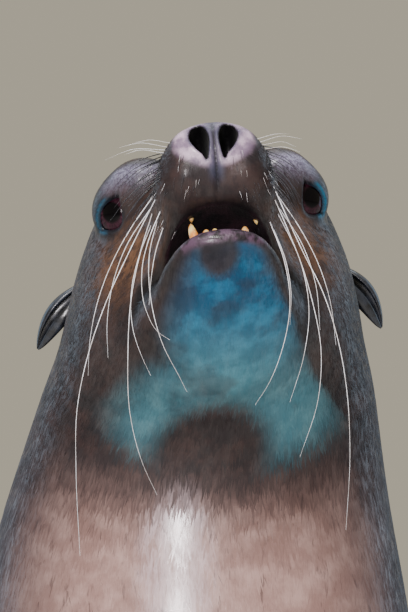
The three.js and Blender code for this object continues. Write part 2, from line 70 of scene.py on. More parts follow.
# Cross-sections: distance behind the nostrils, back, belly, half width, widest height, squareness.
BODY = [
    (0, 9, -12, 18, 0, 2), (3, 12.5, -18, 24, 0, 2), (8, 15.5, -22, 28, -1, 2.1),
    (16, 18.5, -25, 31, -3, 2.2), (32, 23, -30, 35, -8, 2.3), (54, 28, -35, 40, -12, 2.4),
    (74, 35, -38, 47, -10, 2.5), (90, 43, -42, 58, -4, 2.6), (104, 51, -48, 68, 2, 2.6),
    (120, 58, -60, 78, 1, 2.5), (142, 64, -75, 86, -4, 2.3), (168, 68, -84, 93, -10, 2.2),
    (195, 71, -92, 98, -14, 2.1), (225, 75, -99, 103, -16, 2), (260, 81, -105, 111, -14, 2),
    (310, 91, -112, 121, -8, 2), (370, 103, -122, 134, -4, 2), (440, 116, -137, 146, -2, 2.1),
    (540, 132, -153, 162, 0, 2.15), (660, 143, -161, 171, 0, 2.2), (800, 146, -157, 169, -4, 2.2),
    (940, 140, -143, 159, -10, 2.1), (1080, 125, -126, 146, -18, 2.1), (1220, 104, -108, 131, -20, 2.1),
    (1340, 82, -92, 113, -16, 2.1), (1430, 63, -76, 90, -8, 2), (1475, 48, -60, 68, -4, 2),
    (1505, 30, -40, 42, -2, 2), (1525, 18, -25, 27, 0, 2), (1550, 12, -16, 20, 0, 2),
    (1575, 7, -10, 14, 0, 2), (1590, 3, -4, 7, 0, 2),
]

# The lower jaw: distance behind the nostrils, the lip's height, the underside, half the width.
JAW = [
    (19, -60, -65, 9), (21, -57, -68, 18), (27, -55, -71, 26), (38, -53, -72, 32), (56, -49, -73, 38),
    (80, -44, -76, 43), (104, -39, -80, 48), (126, -36, -83, 51), (146, -40, -82, 44), (170, -50, -76, 24),
]

# Limbs: station, centre, direction of the front edge, reach to the front and back edges, thickness.
FORE_LIMB = [
    (0, (85, -140, 345), (0, -1), 84, 110, 60), (1, (124, -140, 262), (0, -1), 80, 100, 56),
    (2, (156, -140, 180), (0.1, -1), 70, 82, 48), (3, (180, -142, 108), (0.25, -1), 60, 66, 39),
    (4, (199, -138, 52), (0.45, -0.9), 56, 61, 31), (5, (224, -122, 22.5), (0.62, -0.78), 58, 66, 23),
    (6, (254, -91, 14.5), (0.72, -0.69), 61, 74, 17.5), (7, (289, -46, 11), (0.79, -0.61), 61, 78, 13.5),
    (8, (321, 3, 9), (0.83, -0.56), 56, 74, 11), (9, (349, 52, 7), (0.87, -0.49), 47, 62, 9),
    (10, (369, 95, 6), (0.92, -0.39), 35, 40, 7), (11, (380, 126, 5), (0.95, -0.3), 20, 18, 5),
    (11.6, (384, 140, 4), (0.97, -0.25), 7, 6, 3.5),
]
SHANK = [
    (0, (48, 395, 88), (1, 0.2), 56, 44, 62), (1, (66, 440, 76), (1, 0.1), 52, 40, 52),
    (2, (88, 482, 56), (1, 0), 42, 36, 40), (3, (104, 508, 40), (1, -0.2), 30, 30, 30),
    (3.6, (112, 520, 34), (1, -0.3), 17, 17, 17),
]
FOOT = [
    (0, (100, 532, 26), (1, 0.5), 20, 20, 17), (1, (112, 512, 28), (1, 0.5), 34, 34, 26),
    (2, (132, 478, 21), (1, 0.55), 40, 40, 22), (3, (154, 440, 14), (1, 0.6), 48, 48, 17),
    (4, (176, 402, 10), (1, 0.6), 58, 58, 12), (5, (196, 368, 7), (1, 0.6), 67, 67, 8),
    (6, (212, 341, 5), (1, 0.6), 68, 68, 4),
]
BACK_EDGE_THINNING = 0.35
DIGIT = {"root": 22, "spacing": 15.5, "fan": 9.5, "length": 190, "outer_longer": 7}

# Places on the head: back from the nostrils, height over the spine, distance to the side.
EYE = {"place": (102, 18.5, 54.5), "radius": 19.5, "lid": 2.6, "facing": (-0.66, -0.42, 0.62)}
LOOK = (-0.7, -0.48, 0.53)  # back, up, side
MOUTH = ((70, -42, 0), (51, 13.5, 32))  # middle and half sizes of its hollow
EAR = {"place": (203, 20, 90), "way": (0.42, -0.6, 0.68), "buried": 8, "length": 47, "width": 22,
       "thickness": 6.5}

TURN = {"tilt": 4.4, "yaw": 3.0, "shift": 11.0, "from": 670.0, "to": 860.0,
        "pivot": (0.0, -230.0, 800.0)}

# ---------------------------------------------------------------- smooth values and the spine


def profile(at, values):
    """A monotone cubic through stations, as a function of distance."""
    x, y = np.array(at, float), np.array(values, float)
    rise = np.diff(y) / np.diff(x)
    slope = np.empty_like(x)
    slope[0], slope[-1] = rise[0], rise[-1]
    product = rise[:-1] * rise[1:]
    total = rise[:-1] + rise[1:]
    safe = np.where(product > 0, total, 1.0)
    slope[1:-1] = np.where(product > 0, 2 * product / safe, 0.0)

    def value(t):
        t = np.clip(t, x[0], x[-1])
        i = np.clip(np.searchsorted(x, t, side="left") - 1, 0, len(x) - 2)
        span = x[i + 1] - x[i]
        b = (t - x[i]) / span
        a = 1 - b
        return (a * a * (1 + 2 * b) * y[i] + b * b * (3 - 2 * b) * y[i + 1]
                + span * b * a * (a * slope[i] - b * slope[i + 1]))

    return value


def smoothstep(value, low, high):
    t = np.clip((value - low) / (high - low), 0, 1)
    return t * t * (3 - 2 * t)


SPINE_SLOPE = profile(SPINE["at"], SPINE["slope"])
_steps = np.radians(SPINE_SLOPE(np.arange(SPINE_LENGTH) + 0.5))
SPINE_Y = NOSE[0] + np.concatenate([[0], np.cumsum(np.cos(_steps))])
SPINE_Z = NOSE[1] - np.concatenate([[0], np.cumsum(np.sin(_steps))])
SECTION = {
    key: profile([row[0] for row in BODY], [row[k + 1] for row in BODY])
    for k, key in enumerate(("back", "belly", "half", "widest", "box"))
}
SKULL_SLOPE = math.radians(SPINE["slope"][0])
SKULL_COS, SKULL_SIN = math.cos(SKULL_SLOPE), math.sin(SKULL_SLOPE)


def spine_frame(at):
    """Centre (y, z), direction back along the spine, and direction out through the back."""
    index = np.arange(SPINE_LENGTH + 1)
    slope = np.radians(SPINE_SLOPE(at))
    centre = np.stack([np.interp(at, index, SPINE_Y), np.interp(at, index, SPINE_Z)], -1)
    along = np.stack([np.cos(slope), -np.sin(slope)], -1)
    up = np.stack([np.sin(slope), np.cos(slope)], -1)
    return centre, along, up


def nearest(points, places):
    """The index of the nearest place to each point."""
    found = np.empty(len(points), int)
    size = (places ** 2).sum(1)
    for start in range(0, len(points), 20000):
        found[start:start + 20000] = (size - 2 * points[start:start + 20000] @ places.T).argmin(1)
    return found


def spine_place(y, z):
    """Distance along the spine and signed height over it, for points of the middle plane."""
    flat = np.stack([y.ravel(), z.ravel()], -1).astype(float)
    coarse = np.arange(0, SPINE_LENGTH + 1, 10)
    at = coarse[nearest(flat, np.stack([SPINE_Y[coarse], SPINE_Z[coarse]], -1))].astype(float)
    for _ in range(8):
        centre, along, _up = spine_frame(at)
        at = np.clip(at + ((flat - centre) * along).sum(-1), 0, SPINE_LENGTH)
    centre, along, up = spine_frame(at)
    beyond = ((flat - centre) * along).sum(-1)
    height = ((flat - centre) * up).sum(-1)
    return at.reshape(y.shape), height.reshape(y.shape), beyond.reshape(y.shape)


def on_skull(place):
    """A point given as back, up and side of the nostrils, as x, y, z."""
    back, up, side = (np.asarray(v, float) for v in place)
    y = NOSE[0] + back * SKULL_COS + up * SKULL_SIN
    z = NOSE[1] - back * SKULL_SIN + up * SKULL_COS
    return np.stack(np.broadcast_arrays(side, y, z), -1)


def skull_direction(back, up, side):
    return on_skull((back, up, side)) - on_skull((0, 0, 0))


def skull_place(points):
    """Back, up and side of points x, y, z."""
    y, z = points[..., 1] - NOSE[0], points[..., 2] - NOSE[1]
    return y * SKULL_COS - z * SKULL_SIN, y * SKULL_SIN + z * SKULL_COS, points[..., 0]


def turn_head(points):
    """Turns, tilts and shifts points of the head, less and less down the neck."""
    share = smoothstep(points[:, 2], TURN["from"], TURN["to"])
    out = points - TURN["pivot"]
    yaw = np.radians(TURN["yaw"]) * share
    x, y = out[:, 0].copy(), out[:, 1].copy()
    out[:, 0], out[:, 1] = x * np.cos(yaw) - y * np.sin(yaw), x * np.sin(yaw) + y * np.cos(yaw)
    tilt = -np.radians(TURN["tilt"]) * share
    x, z = out[:, 0].copy(), out[:, 2].copy()
    out[:, 0], out[:, 2] = x * np.cos(tilt) + z * np.sin(tilt), z * np.cos(tilt) - x * np.sin(tilt)
    out += TURN["pivot"]
    out[:, 0] += TURN["shift"] * share
    return out


def eye_centre(side):
    back, up, out = EYE["place"]
    return turn_head(on_skull((back, up, side * out))[None])[0]


_low, _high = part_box("eye_left")
OFFSET = np.array((_low + _high) / 2) * 1000 - eye_centre(1)
OFFSET[0] = OFFSET[2] = 0


def set_down(points):
    """Points of the straight animal, in millimetres, as the finished one has them, in metres."""
    return (turn_head(np.asarray(points, float)) + OFFSET) / 1000


# ---------------------------------------------------------------- meshes


def mesh_piece(name, points, *faces, smooth=True):
    """A mesh object; each array of faces has faces of one number of corners."""
    mesh = bpy.data.meshes.new(name)
    mesh.vertices.add(len(points))
    mesh.vertices.foreach_set("co", np.asarray(points, np.float32).ravel())
    corners = np.concatenate([np.full(len(part), part.shape[1], np.int32) for part in faces])
    mesh.loops.add(int(corners.sum()))
    order = np.concatenate([np.ravel(part) for part in faces])
    mesh.loops.foreach_set("vertex_index", order.astype(np.int32))
    mesh.polygons.add(len(corners))
    mesh.polygons.foreach_set("loop_start", np.cumsum(corners) - corners)
    mesh.update(calc_edges=True)
    mesh.validate()
    if smooth:
        mesh.polygons.foreach_set("use_smooth", np.ones(len(mesh.polygons), bool))
    piece = bpy.data.objects.new(name, mesh)
    bpy.context.scene.collection.objects.link(piece)
    return piece


def loft_mesh(rings):
    """Closed quads and fans through rings, an array of ring, point, xyz."""
    count, sides = rings.shape[:2]
    points = rings.reshape(-1, 3)
    ring, side = np.meshgrid(np.arange(count - 1), np.arange(sides), indexing="ij")
    after = (side + 1) % sides
    quads = np.stack([ring * sides + side, ring * sides + after,
                      (ring + 1) * sides + after, (ring + 1) * sides + side], -1).reshape(-1, 4)
    ends = []
    centres = [rings[0].mean(0), rings[-1].mean(0)]
    for end, (base, centre) in enumerate(((0, len(points)), ((count - 1) * sides, len(points) + 1))):
        k = np.arange(sides)
        pair = [base + (k + 1) % sides, base + k]
        if end:
            pair.reverse()
        ends.append(np.stack([pair[0], pair[1], np.full(sides, centre)], -1))
    return np.concatenate([points, centres]), quads, np.concatenate(ends)


# ---------------------------------------------------------------- the field's grid

# Cells are small on the face and larger on the trunk, so the grid is laid out in a space that is
# stretched along the skull. The hind flippers have a finer grid of their own, and the fore flippers are
# finely lofted.
CELL = profile([-40, 40, 90, 140, 250, 400, 2400], [1.45, 1.45, 1.8, 2.2, 4.4, 9.0, 9.0])
SIDE_MIDDLE = -20.0
GRID_BACK = np.arange(-40, 2400, 0.5)
GRID_CELLS = np.concatenate([[0], np.cumsum(0.5 / CELL(GRID_BACK[:-1] + 0.25))])


def to_grid(points):
    """Cell coordinates (along the skull, up from it, sideways) of points in millimetres."""
    back, up, side = skull_place(points)
    cell = CELL(back)
    return np.stack([np.interp(back, GRID_BACK, GRID_CELLS), (up - SIDE_MIDDLE) / cell, side / cell], -1)


def from_grid(back_cells, up_cells):
    """y, z and the length of a cell, for cell coordinates."""
    back = np.interp(back_cells, GRID_CELLS, GRID_BACK)
    cell = CELL(back)
    place = on_skull((back, up_cells * cell + SIDE_MIDDLE, 0.0))
    return place[..., 1], place[..., 2], cell


def blend(a, b, soft):
    """The join of two fields, filleted over a width."""
    share = np.clip(0.5 + 0.5 * (b - a) / soft, 0, 1)
    return b + (a - b) * share - soft * share * (1 - share)


def carve(a, hole, soft):
    return -blend(-a, hole, soft)


def limb_rings(stations, count, sides, side=1, grown=0.0):
    """Rings of a limb's loft, an array of ring, point, xyz."""
    at = [row[0] for row in stations]
    path = [profile(at, [row[1][k] for row in stations]) for k in range(3)]
    edge = [profile(at, [row[2][k] for row in stations]) for k in range(2)]
    reach = [profile(at, [row[k] for row in stations]) for k in (3, 4, 5)]
    t = np.linspace(at[0], at[-1], count)
    centre = np.stack([curve(t) for curve in path], -1)
    along = np.stack([curve(np.minimum(t + 0.05, at[-1])) - curve(np.maximum(t - 0.05, at[0]))
                      for curve in path], -1)
    along /= np.linalg.norm(along, axis=-1, keepdims=True)
    fore = np.stack([edge[0](t), edge[1](t), np.zeros_like(t)], -1)
    fore -= along * (fore * along).sum(-1, keepdims=True)
    fore /= np.linalg.norm(fore, axis=-1, keepdims=True)
    up = np.cross(fore, along)
    lead, trail, thick = (np.maximum(curve(t) + grown, 0.4) for curve in reach)
    turn = -2 * np.pi * np.arange(sides) / sides
    across = np.cos(turn)[None]
    taper = np.where(across < 0, 1 - BACK_EDGE_THINNING * across ** 2, 1)
    wide = np.where(across > 0, lead[:, None], trail[:, None]) * across
    high = thick[:, None] * taper * np.sin(turn)[None]
    rings = centre[:, None] + fore[:, None] * wide[..., None] + up[:, None] * high[..., None]
    rings[..., 0] *= side
    return rings if side > 0 else rings[:, ::-1]


def toe_line(digit):
    """Root, direction and length of a toe of the left foot."""
    back = np.array(FOOT[2][1][:2], float)
    way = np.array(FOOT[5][1][:2], float) - back
    way /= np.linalg.norm(way)
    across = np.array([-way[1], way[0]])
    root = back + way * DIGIT["root"] + across * digit * DIGIT["spacing"]
    fan = math.radians(digit * DIGIT["fan"])
    way = np.array([way[0] * math.cos(fan) - way[1] * math.sin(fan),
                    way[0] * math.sin(fan) + way[1] * math.cos(fan)])
    return root, way, DIGIT["length"] + DIGIT["outer_longer"] * abs(digit)


def toe_rings(digit, count=26, sides=20):
    """A toe, fuller at its knuckles, in the web of the foot."""
    root, way, length = toe_line(digit)
    t = np.linspace(0, 1, count) ** 0.8
    round_end = np.sqrt(np.maximum(1 - t ** 6, 0.02))
    knuckles = 1 + 0.07 * np.cos(2 * np.pi * (t - 0.42) / 0.24) * smoothstep(t, 0.1, 0.4)
    wide = (15 - COAT_DEPTH) * round_end * (0.75 + 0.25 * np.minimum(2 * t, 1)) * knuckles
    thick = (9 + (4.5 - 9) * t) * round_end * knuckles
    centre = np.stack([root[0] + way[0] * length * t, root[1] + way[1] * length * t, 13 - 9 * t], -1)
    turn = -2 * np.pi * np.arange(sides) / sides
    across = np.array([-way[1], way[0], 0.0])
    up = np.array([0.0, 0.0, 1.0])
    return (centre[:, None] + across * (wide[:, None] * np.cos(turn))[..., None]
            - up * (thick[:, None] * np.sin(turn))[..., None])


def jaw_rings(count=70, sides=56):
    at = [row[0] for row in JAW]
    lip, under, half = (profile(at, [row[k] for row in JAW]) for k in (1, 2, 3))
    t = at[0] + (at[-1] - at[0]) * np.linspace(0, 1, count) ** 1.6
    turn = -2 * np.pi * np.arange(sides) / sides
    middle, thick = (lip(t) + under(t)) / 2, (lip(t) - under(t)) / 2
    side = (half(t) - COAT_DEPTH)[:, None] * np.cos(turn)
    up = middle[:, None] + thick[:, None] * np.sin(turn)
    return on_skull((t[:, None] + 0 * up, up, side))


def oval(places, centre, half):
    """The distance from an oval, given places and sizes as back, up, side."""
    apart = [place - middle for place, middle in zip(places, centre)]
    reach = np.sqrt(sum((gap / size) ** 2 for gap, size in zip(apart, half)))
    radius = np.sqrt(sum(gap ** 2 for gap in apart))
    return radius - radius / np.maximum(reach, 1e-3)


def capsule(places, start, end, radius):
    """The distance from a round-ended rod."""
    start, end = np.array(start, float), np.array(end, float)
    line = end - start
    share = sum((place - a) * d for place, a, d in zip(places, start, line)) / (line @ line)
    share = np.clip(share, 0, 1)
    apart = [place - (a + share * d) for place, a, d in zip(places, start, line)]
    return np.sqrt(sum(gap ** 2 for gap in apart)) - radius


def eye_angles(places):
    """Backward and upward tilt from the gaze, and distance, seen from an eye's centre."""
    gaze = np.array(EYE["facing"]) / np.linalg.norm(EYE["facing"])
    back = np.array([1.0, 0, 0]) - gaze * gaze[0]
    back /= np.linalg.norm(back)
    up = np.cross(gaze, back)
    up *= np.sign(up[1])
    apart = [place - middle for place, middle in zip(places, EYE["place"])]
    far = np.maximum(np.sqrt(sum(gap ** 2 for gap in apart)), 1e-3)
    along = [sum(gap * part for gap, part in zip(apart, way)) / far for way in (back, up, gaze)]
    return along[0], along[1], along[2], far


def lid_gap(back, up):
    """How far beyond the lids' edges a direction lies, in eye radii: below 0 it is in the opening."""
    reach = (back - 0.07) / 0.67
    upper = 0.0 - 0.04 * back + 0.24 * np.clip(1 - reach ** 2, -0.6, 1)
    lower = 0.02 - 0.04 * back - 0.58 * np.clip(1 - reach ** 2, -0.6, 1)
    return np.maximum(up - upper, lower - up)


def nostril_gap(places):
    """The distance outside a nostril: a drop, upright along the septum and narrow below."""
    back, up, side = places
    narrowing = np.clip(1.02 + 0.026 * (up + 2) - 0.002 * (up + 2) ** 2, 0.45, 1.2)
    lean = (side - 3.4 - 5.6 * narrowing) / narrowing
    return oval((back, up, lean), (2, -3, 0), (22, 12.8, 5.6))


# The edge of the upper lip, from the whisker pad back to the corner of the mouth.
LIP_LINE = [(46, -30, 21), (68, -33, 30), (94, -37, 38), (122, -42, 45)]


class Field:
    """The skin as a field of distances over the grid's left half."""

    def __init__(self):
        fore = to_grid(limb_rings(FORE_LIMB, 60, 24))
        foot = to_grid(limb_rings(FOOT, 30, 24))
        spine, _along, up = spine_frame(np.arange(SPINE_LENGTH + 1.0))
        reach = [SECTION[key](np.arange(SPINE_LENGTH + 1.0))[:, None] for key in ("back", "belly")]
        edges = np.concatenate([spine + up * reach[0], spine + up * reach[1]])
        trunk = to_grid(np.column_stack([0 * edges[:, 0], edges]))
        found = np.concatenate([part.reshape(-1, 3) for part in (fore, foot, trunk)])
        self.low = np.floor(found.min(0)).astype(int) - 5
        self.low[2] = 0
        high = np.ceil(found.max(0)).astype(int) + 6
        self.shape = high - self.low
        back_cells, up_cells = np.meshgrid(
            np.arange(self.low[0], high[0]), np.arange(self.low[1], high[1]), indexing="ij")
        self.y, self.z, self.cell = (v.astype(np.float32) for v in from_grid(back_cells, up_cells))
        self.side = np.arange(high[2], dtype=np.float32)
        self.values = self.trunk()

    def trunk(self):
        at, height, beyond = spine_place(self.y, self.z)
        section = {key: curve(at).astype(np.float32) for key, curve in SECTION.items()}
        half = section["half"] - COAT_DEPTH
        above = (height - section["widest"]).astype(np.float32)
        reach = np.where(above > 0, section["back"] - section["widest"],
                         section["widest"] - section["belly"]) - COAT_DEPTH
        box = section["box"][..., None]
        x = self.cell[..., None] * self.side
        part = (np.abs(above) / reach)[..., None] ** box
        full = ((x / half[..., None]) ** box + part) ** (1 / box)
        radius = np.sqrt(x ** 2 + above[..., None] ** 2)
        values = radius - radius / np.maximum(full, 0.05)
        run = (at + beyond).astype(np.float32)
        end = np.maximum(COAT_DEPTH - run, run - SPINE_LENGTH)[..., None]
        return -blend(-values, -end, 4.0)

    def shape_block(self, rings, width):
        """The distances from a loft in millimetres, and where in the field they lie."""
        block, where = loft_distances(rings, to_grid, self.low, self.low + self.shape, width)
        return block * self.cell[where[:2]][..., None], where

    def join(self, rings, soft, width=7):
        block, where = self.shape_block(rings, width)
        self.values[where] = blend(self.values[where], block, soft)

    def mesh(self):
        """Points in millimetres and quads, facing outwards, of both sides."""
        cells, quads = quads_of(np.concatenate([self.values[..., :0:-1], self.values], -1))
        back, up = cells[:, 0] + self.low[0], cells[:, 1] + self.low[1]
        y, z, cell = from_grid(back, up)
        points = np.stack([(cells[:, 2] - (self.shape[2] - 1)) * cell, y, z], -1)
        return points, quads


# Middle, half sizes and fillet of the head's forms: the ridge over the eyes, whisker pad and three of the
# muzzle.
HEAD_FORMS = (
    ((98, 23, 43), tuple(size - COAT_DEPTH for size in (38, 23, 28)), 7.0),
    ((42, -16.5, 18), tuple(size - COAT_DEPTH for size in (40, 21, 22.5)), 9.0),
    ((27, -15, 0), (19, 20, 25), 9.0),
    ((9, -3, 0), (11, 17.2, 26), 5.0),
    ((22, -5, 0), (20, 19, 33), 7.0),
)


def head_shapes(field):
    """Brows, muzzle, jaw, lids and openings of the head."""
    back, up, _ = skull_place(np.stack([0 * field.y, field.y, field.z], -1))
    rows = int((back.min(1) < 235).sum())
    where = (slice(0, rows),)
    places = (back[where][..., None].astype(np.float32), up[where][..., None].astype(np.float32),
              field.cell[where][..., None] * field.side)
    head = field.values[where]
    for middle, half, soft in HEAD_FORMS:
        head = blend(head, oval(places, middle, half), soft)
    lip = [capsule(places, start, end, 7.5) for start, end in zip(LIP_LINE[:-1], LIP_LINE[1:])]
    head = blend(head, np.minimum.reduce(lip), 9.0)
    lids = oval(places, EYE["place"], (EYE["radius"] + EYE["lid"],) * 3)
    head = blend(head, lids, 8.0)
    field.values[where] = head

    jaw, there = field.shape_block(jaw_rings(), 24)
    head = field.values[there]
    jaw_back = back[there[:2]][..., None]
    soft = 1.5 + 26 * smoothstep(jaw_back, 96, 165)
    crease = np.exp(-((np.abs(head) + np.abs(jaw)) / 4.0) ** 2) * (1 - smoothstep(jaw_back, 112, 132))
    field.values[there] = blend(head, jaw, soft.astype(np.float32)) + 5.0 * crease

    head = field.values[where]
    head = blend(head, oval(places, (150, -45, 0), (66, 31, 58)), 26.0)
    head = carve(head, oval(places, *MOUTH), 2.0)
    head = carve(head, nostril_gap(places), 1.6)
    groove = np.exp(-(places[2] / 1.5) ** 2) * smoothstep(places[1], -40, -22) * (places[0] < 26)
    head = head + (1.7 * groove * (1 - smoothstep(places[1], 8, 15))).astype(np.float32)
    lid_back, lid_up, ahead, far = eye_angles(places)
    opening = np.maximum(lid_gap(lid_back, lid_up) * EYE["radius"], EYE["radius"] - 3.5 - far)
    opening = np.where((ahead > 0) & (far < 40), opening, 20.0)
    head = carve(head, opening.astype(np.float32), 1.6)
    field.values[where] = head


def loft_distances(rings, to_cells, low, high, width):
    """A loft's distances in cells, over the part of a grid that it and its band fill."""
    points, quads, fans = loft_mesh(rings)
    cells = to_cells(points).astype(np.float32)
    start = np.maximum(np.floor(cells.min(0)).astype(int) - width, low)
    stop = np.minimum(np.ceil(cells.max(0)).astype(int) + width, high)
    grid = openvdb.FloatGrid.createLevelSetFromPolygons(
        cells, triangles=fans.astype(np.uint32), quads=quads.astype(np.uint32), halfWidth=float(width))
    block = np.empty(stop - start, np.float32)
    grid.copyToArray(block, ijk=tuple(int(v) for v in start))
    return block, tuple(slice(a, b) for a, b in zip(start - low, stop - low))


def quads_of(values):
    grid = openvdb.FloatGrid()
    grid.background = 30.0
    grid.copyFromArray(values)
    cells, quads = grid.convertToQuads()
    return cells.astype(float), quads.astype(np.int64)


def fine_part(lofts, cell):
    """Points and quads of lofts joined on a fine grid; each loft comes with its fillet's width."""
    found = np.concatenate([rings.reshape(-1, 3) for rings, _soft in lofts]) / cell
    low = np.floor(found.min(0)).astype(int) - 4
    high = np.ceil(found.max(0)).astype(int) + 5
    values = np.full(high - low, 30.0, np.float32)
    for rings, soft in lofts:
        width = int(soft / cell) + 3
        block, where = loft_distances(rings, lambda points: points / cell, low, high, width)
        values[where] = blend(values[where], block * cell, soft)
    cells, quads = quads_of(values)
    return (cells + low) * cell, quads


class LimbPlace:
    """Where points lie on a limb of either side."""

    def __init__(self, stations, start=0.0):
        at = [row[0] for row in stations]
        self.t = np.linspace(at[0], at[-1], 240)
        rings = limb_rings(stations, 240, 4)
        self.lead, self.trail, self.thick = (
            profile(at, [row[k] for row in stations])(self.t) for k in (3, 4, 5))
        self.fore = (rings[:, 0] - rings[:, 2]) / (self.lead + self.trail)[:, None]
        self.centre = rings[:, 0] - self.fore * self.lead[:, None]
        self.up = (rings[:, 3] - rings[:, 1]) / (2 * self.thick)[:, None]
        steps = np.diff(self.centre, axis=0)
        self.way = np.gradient(self.centre, axis=0)
        self.way /= np.linalg.norm(self.way, axis=1, keepdims=True)
        self.run = start + np.concatenate([[0], np.cumsum(np.linalg.norm(steps, axis=1))])

    def find(self, points):
        """Station, place (along, through, across) in millimetres, way along, and distance outside."""
        sign = np.where(points[:, :1] < 0, -1.0, 1.0)
        points = np.column_stack([np.abs(points[:, 0]), points[:, 1:]])
        index = nearest(points, self.centre)
        apart = points - self.centre[index]
        along, through, across = ((apart * part[index]).sum(-1)
                                  for part in (self.way, self.up, self.fore))
        reach = np.where(across > 0, self.lead[index], self.trail[index])
        outside = np.maximum(np.abs(across) - reach, np.abs(through) - self.thick[index])
        place = np.stack([self.run[index] + along, through, across], -1)
        way = self.way[index] * np.column_stack([sign, np.ones((len(sign), 2))])
        return self.t[index], place, way, outside


# Where the fine flippers are set on: station, and the limb's direction there by its stations.
FORE_SEAM, FOOT_SEAM = 3.35, 3.3
SEAM_GAP = (2.5, 1.5)  # cut back from the seam on the body and on the flipper


def seam_plane(place, station):
    index = int(np.searchsorted(place.t, station))
    way = place.centre[index + 3] - place.centre[index - 3]
    return place.centre[index], way / np.linalg.norm(way)


def set_on(body, part, place, station, low_side):
    """Joins a finely made flipper to the body of a bmesh, in place of its coarse end."""
    centre, way = seam_plane(place, station)
    centre, way = centre * (low_side, 1, 1), way * (low_side, 1, 1)
    body.verts.ensure_lookup_table()
    points = np.array([v.co for v in body.verts])
    near = np.flatnonzero((points[:, 0] * low_side > 90) & (points[:, 2] < 160))
    t, _place, _way, outside = place.find(points[near])
    owned = near[(t > station - 0.35) & (outside < 10)]
    mine = np.zeros(len(points), bool)
    mine[owned] = True
    faces = [f for f in body.faces if all(mine[v.index] for v in f.verts)]
    geometry = list({v for f in faces for v in f.verts} | {e for f in faces for e in f.edges}) + faces
    bmesh.ops.bisect_plane(body, geom=geometry, plane_co=centre - way * SEAM_GAP[0], plane_no=way,
                           clear_outer=True)
    piece = bmesh.new()
    piece.from_mesh(part.data)
    everything = piece.verts[:] + piece.edges[:] + piece.faces[:]
    bmesh.ops.bisect_plane(piece, geom=everything, plane_co=centre + way * SEAM_GAP[1], plane_no=way,
                           clear_inner=True)
    piece.to_mesh(part.data)
    piece.free()
    body.from_mesh(part.data)
    centre, way = Vector(centre), Vector(way)
    rim = [e for e in body.edges if e.is_boundary
           and all(abs((v.co - centre).dot(way)) < 3.2 and (v.co - centre).length < 110
                   for v in e.verts)]
    bmesh.ops.bridge_loops(body, edges=rim)
    ring = [v for v in body.verts
            if (v.co - centre).length < 100 and abs((v.co - centre).dot(way)) < 16]
    for _ in range(5):
        bmesh.ops.smooth_vert(body, verts=ring, factor=0.5,
                              use_axis_x=True, use_axis_y=True, use_axis_z=True)


def facing_out(points, faces):
    """The faces, turned round if they enclose a negative volume."""
    a, b, c = (points[faces[:, k]] for k in range(3))
    volume = (np.cross(a, b) * c).sum()
    if faces.shape[1] == 4:
        d = points[faces[:, 3]]
        volume += (np.cross(a, c) * d).sum()
    return faces if volume > 0 else faces[:, ::-1]


def skin_shape():
    """The whole skin as a bmesh of the straight animal, in millimetres."""
    field = Field()
    field.join(limb_rings(FORE_LIMB, 120, 56, grown=-COAT_DEPTH), 26.0)
    field.join(limb_rings(SHANK, 40, 40, grown=-COAT_DEPTH), 16.0)
    field.join(limb_rings(FOOT, 60, 48, grown=-COAT_DEPTH), 8.0)
    head_shapes(field)
    points, quads = field.mesh()
    trunk = mesh_piece("skin_trunk", points, facing_out(points, quads))
    body = bmesh.new()
    body.from_mesh(trunk.data)
    hand = loft_mesh(limb_rings(FORE_LIMB, 130, 64, grown=-COAT_DEPTH))
    toes = [(toe_rings(digit), 4.0) for digit in (-2, -1, 0, 1, 2)]
    foot = fine_part([(limb_rings(FOOT, 80, 60, grown=-COAT_DEPTH), 1.0),
                      (limb_rings(SHANK[2:], 30, 40, grown=-COAT_DEPTH), 16.0)] + toes, 3.5)
    spare = [trunk]
    for (points, *faces), stations, seam in ((hand, FORE_LIMB, FORE_SEAM), (foot, FOOT, FOOT_SEAM)):
        place = LimbPlace(stations)
        for side in (1, -1):
            part = mesh_piece("skin_part", points * (side, 1, 1), *faces)
            set_on(body, part, place, seam, side)
            spare.append(part)
    for piece in spare:
        bpy.data.meshes.remove(piece.data)
    bmesh.ops.holes_fill(body, edges=[e for e in body.edges if e.is_boundary])
    bmesh.ops.triangulate(body, faces=[f for f in body.faces if len(f.verts) > 4])
    bmesh.ops.recalc_face_normals(body, faces=body.faces[:])
    for vertex in body.verts:
        vertex.co.z = max(vertex.co.z, SKIN_OVER_FLOOR)
    return body


# ---------------------------------------------------------------- coat: how it lies, and its markings

FORE_PLACE = LimbPlace(FORE_LIMB, 480)
SHANK_PLACE = LimbPlace(SHANK, 1380)
FOOT_PLACE = LimbPlace(FOOT, 1500)


def soft_oval(points, centre, half):
    """Share, 1 in the middle and 0 outside, of an oval seen from the front; places are x and height."""
    reach = np.hypot((points[:, 0] - centre[0]) / half[0], (points[:, 2] - centre[1]) / half[1])
    return 1 - smoothstep(reach, 0.6, 1.15)


def throat_light(points):
    """Share of the pool's reflection painted under the jaw and down the neck's front, seen from the front.
    """
    lit = soft_oval(points, (12, 822), (50, 66))
    lit = np.maximum(lit, 0.75 * soft_oval(points, (12, 764), (80, 44)))
    for strength, centre, half in ((1, (4, 736), (46, 34)), (0.9, (-3, 861), (15, 17)),
                                   (0.35, (-36, 842), (24, 30))):
        lit *= 1 - strength * soft_oval(points, centre, half)
    return lit


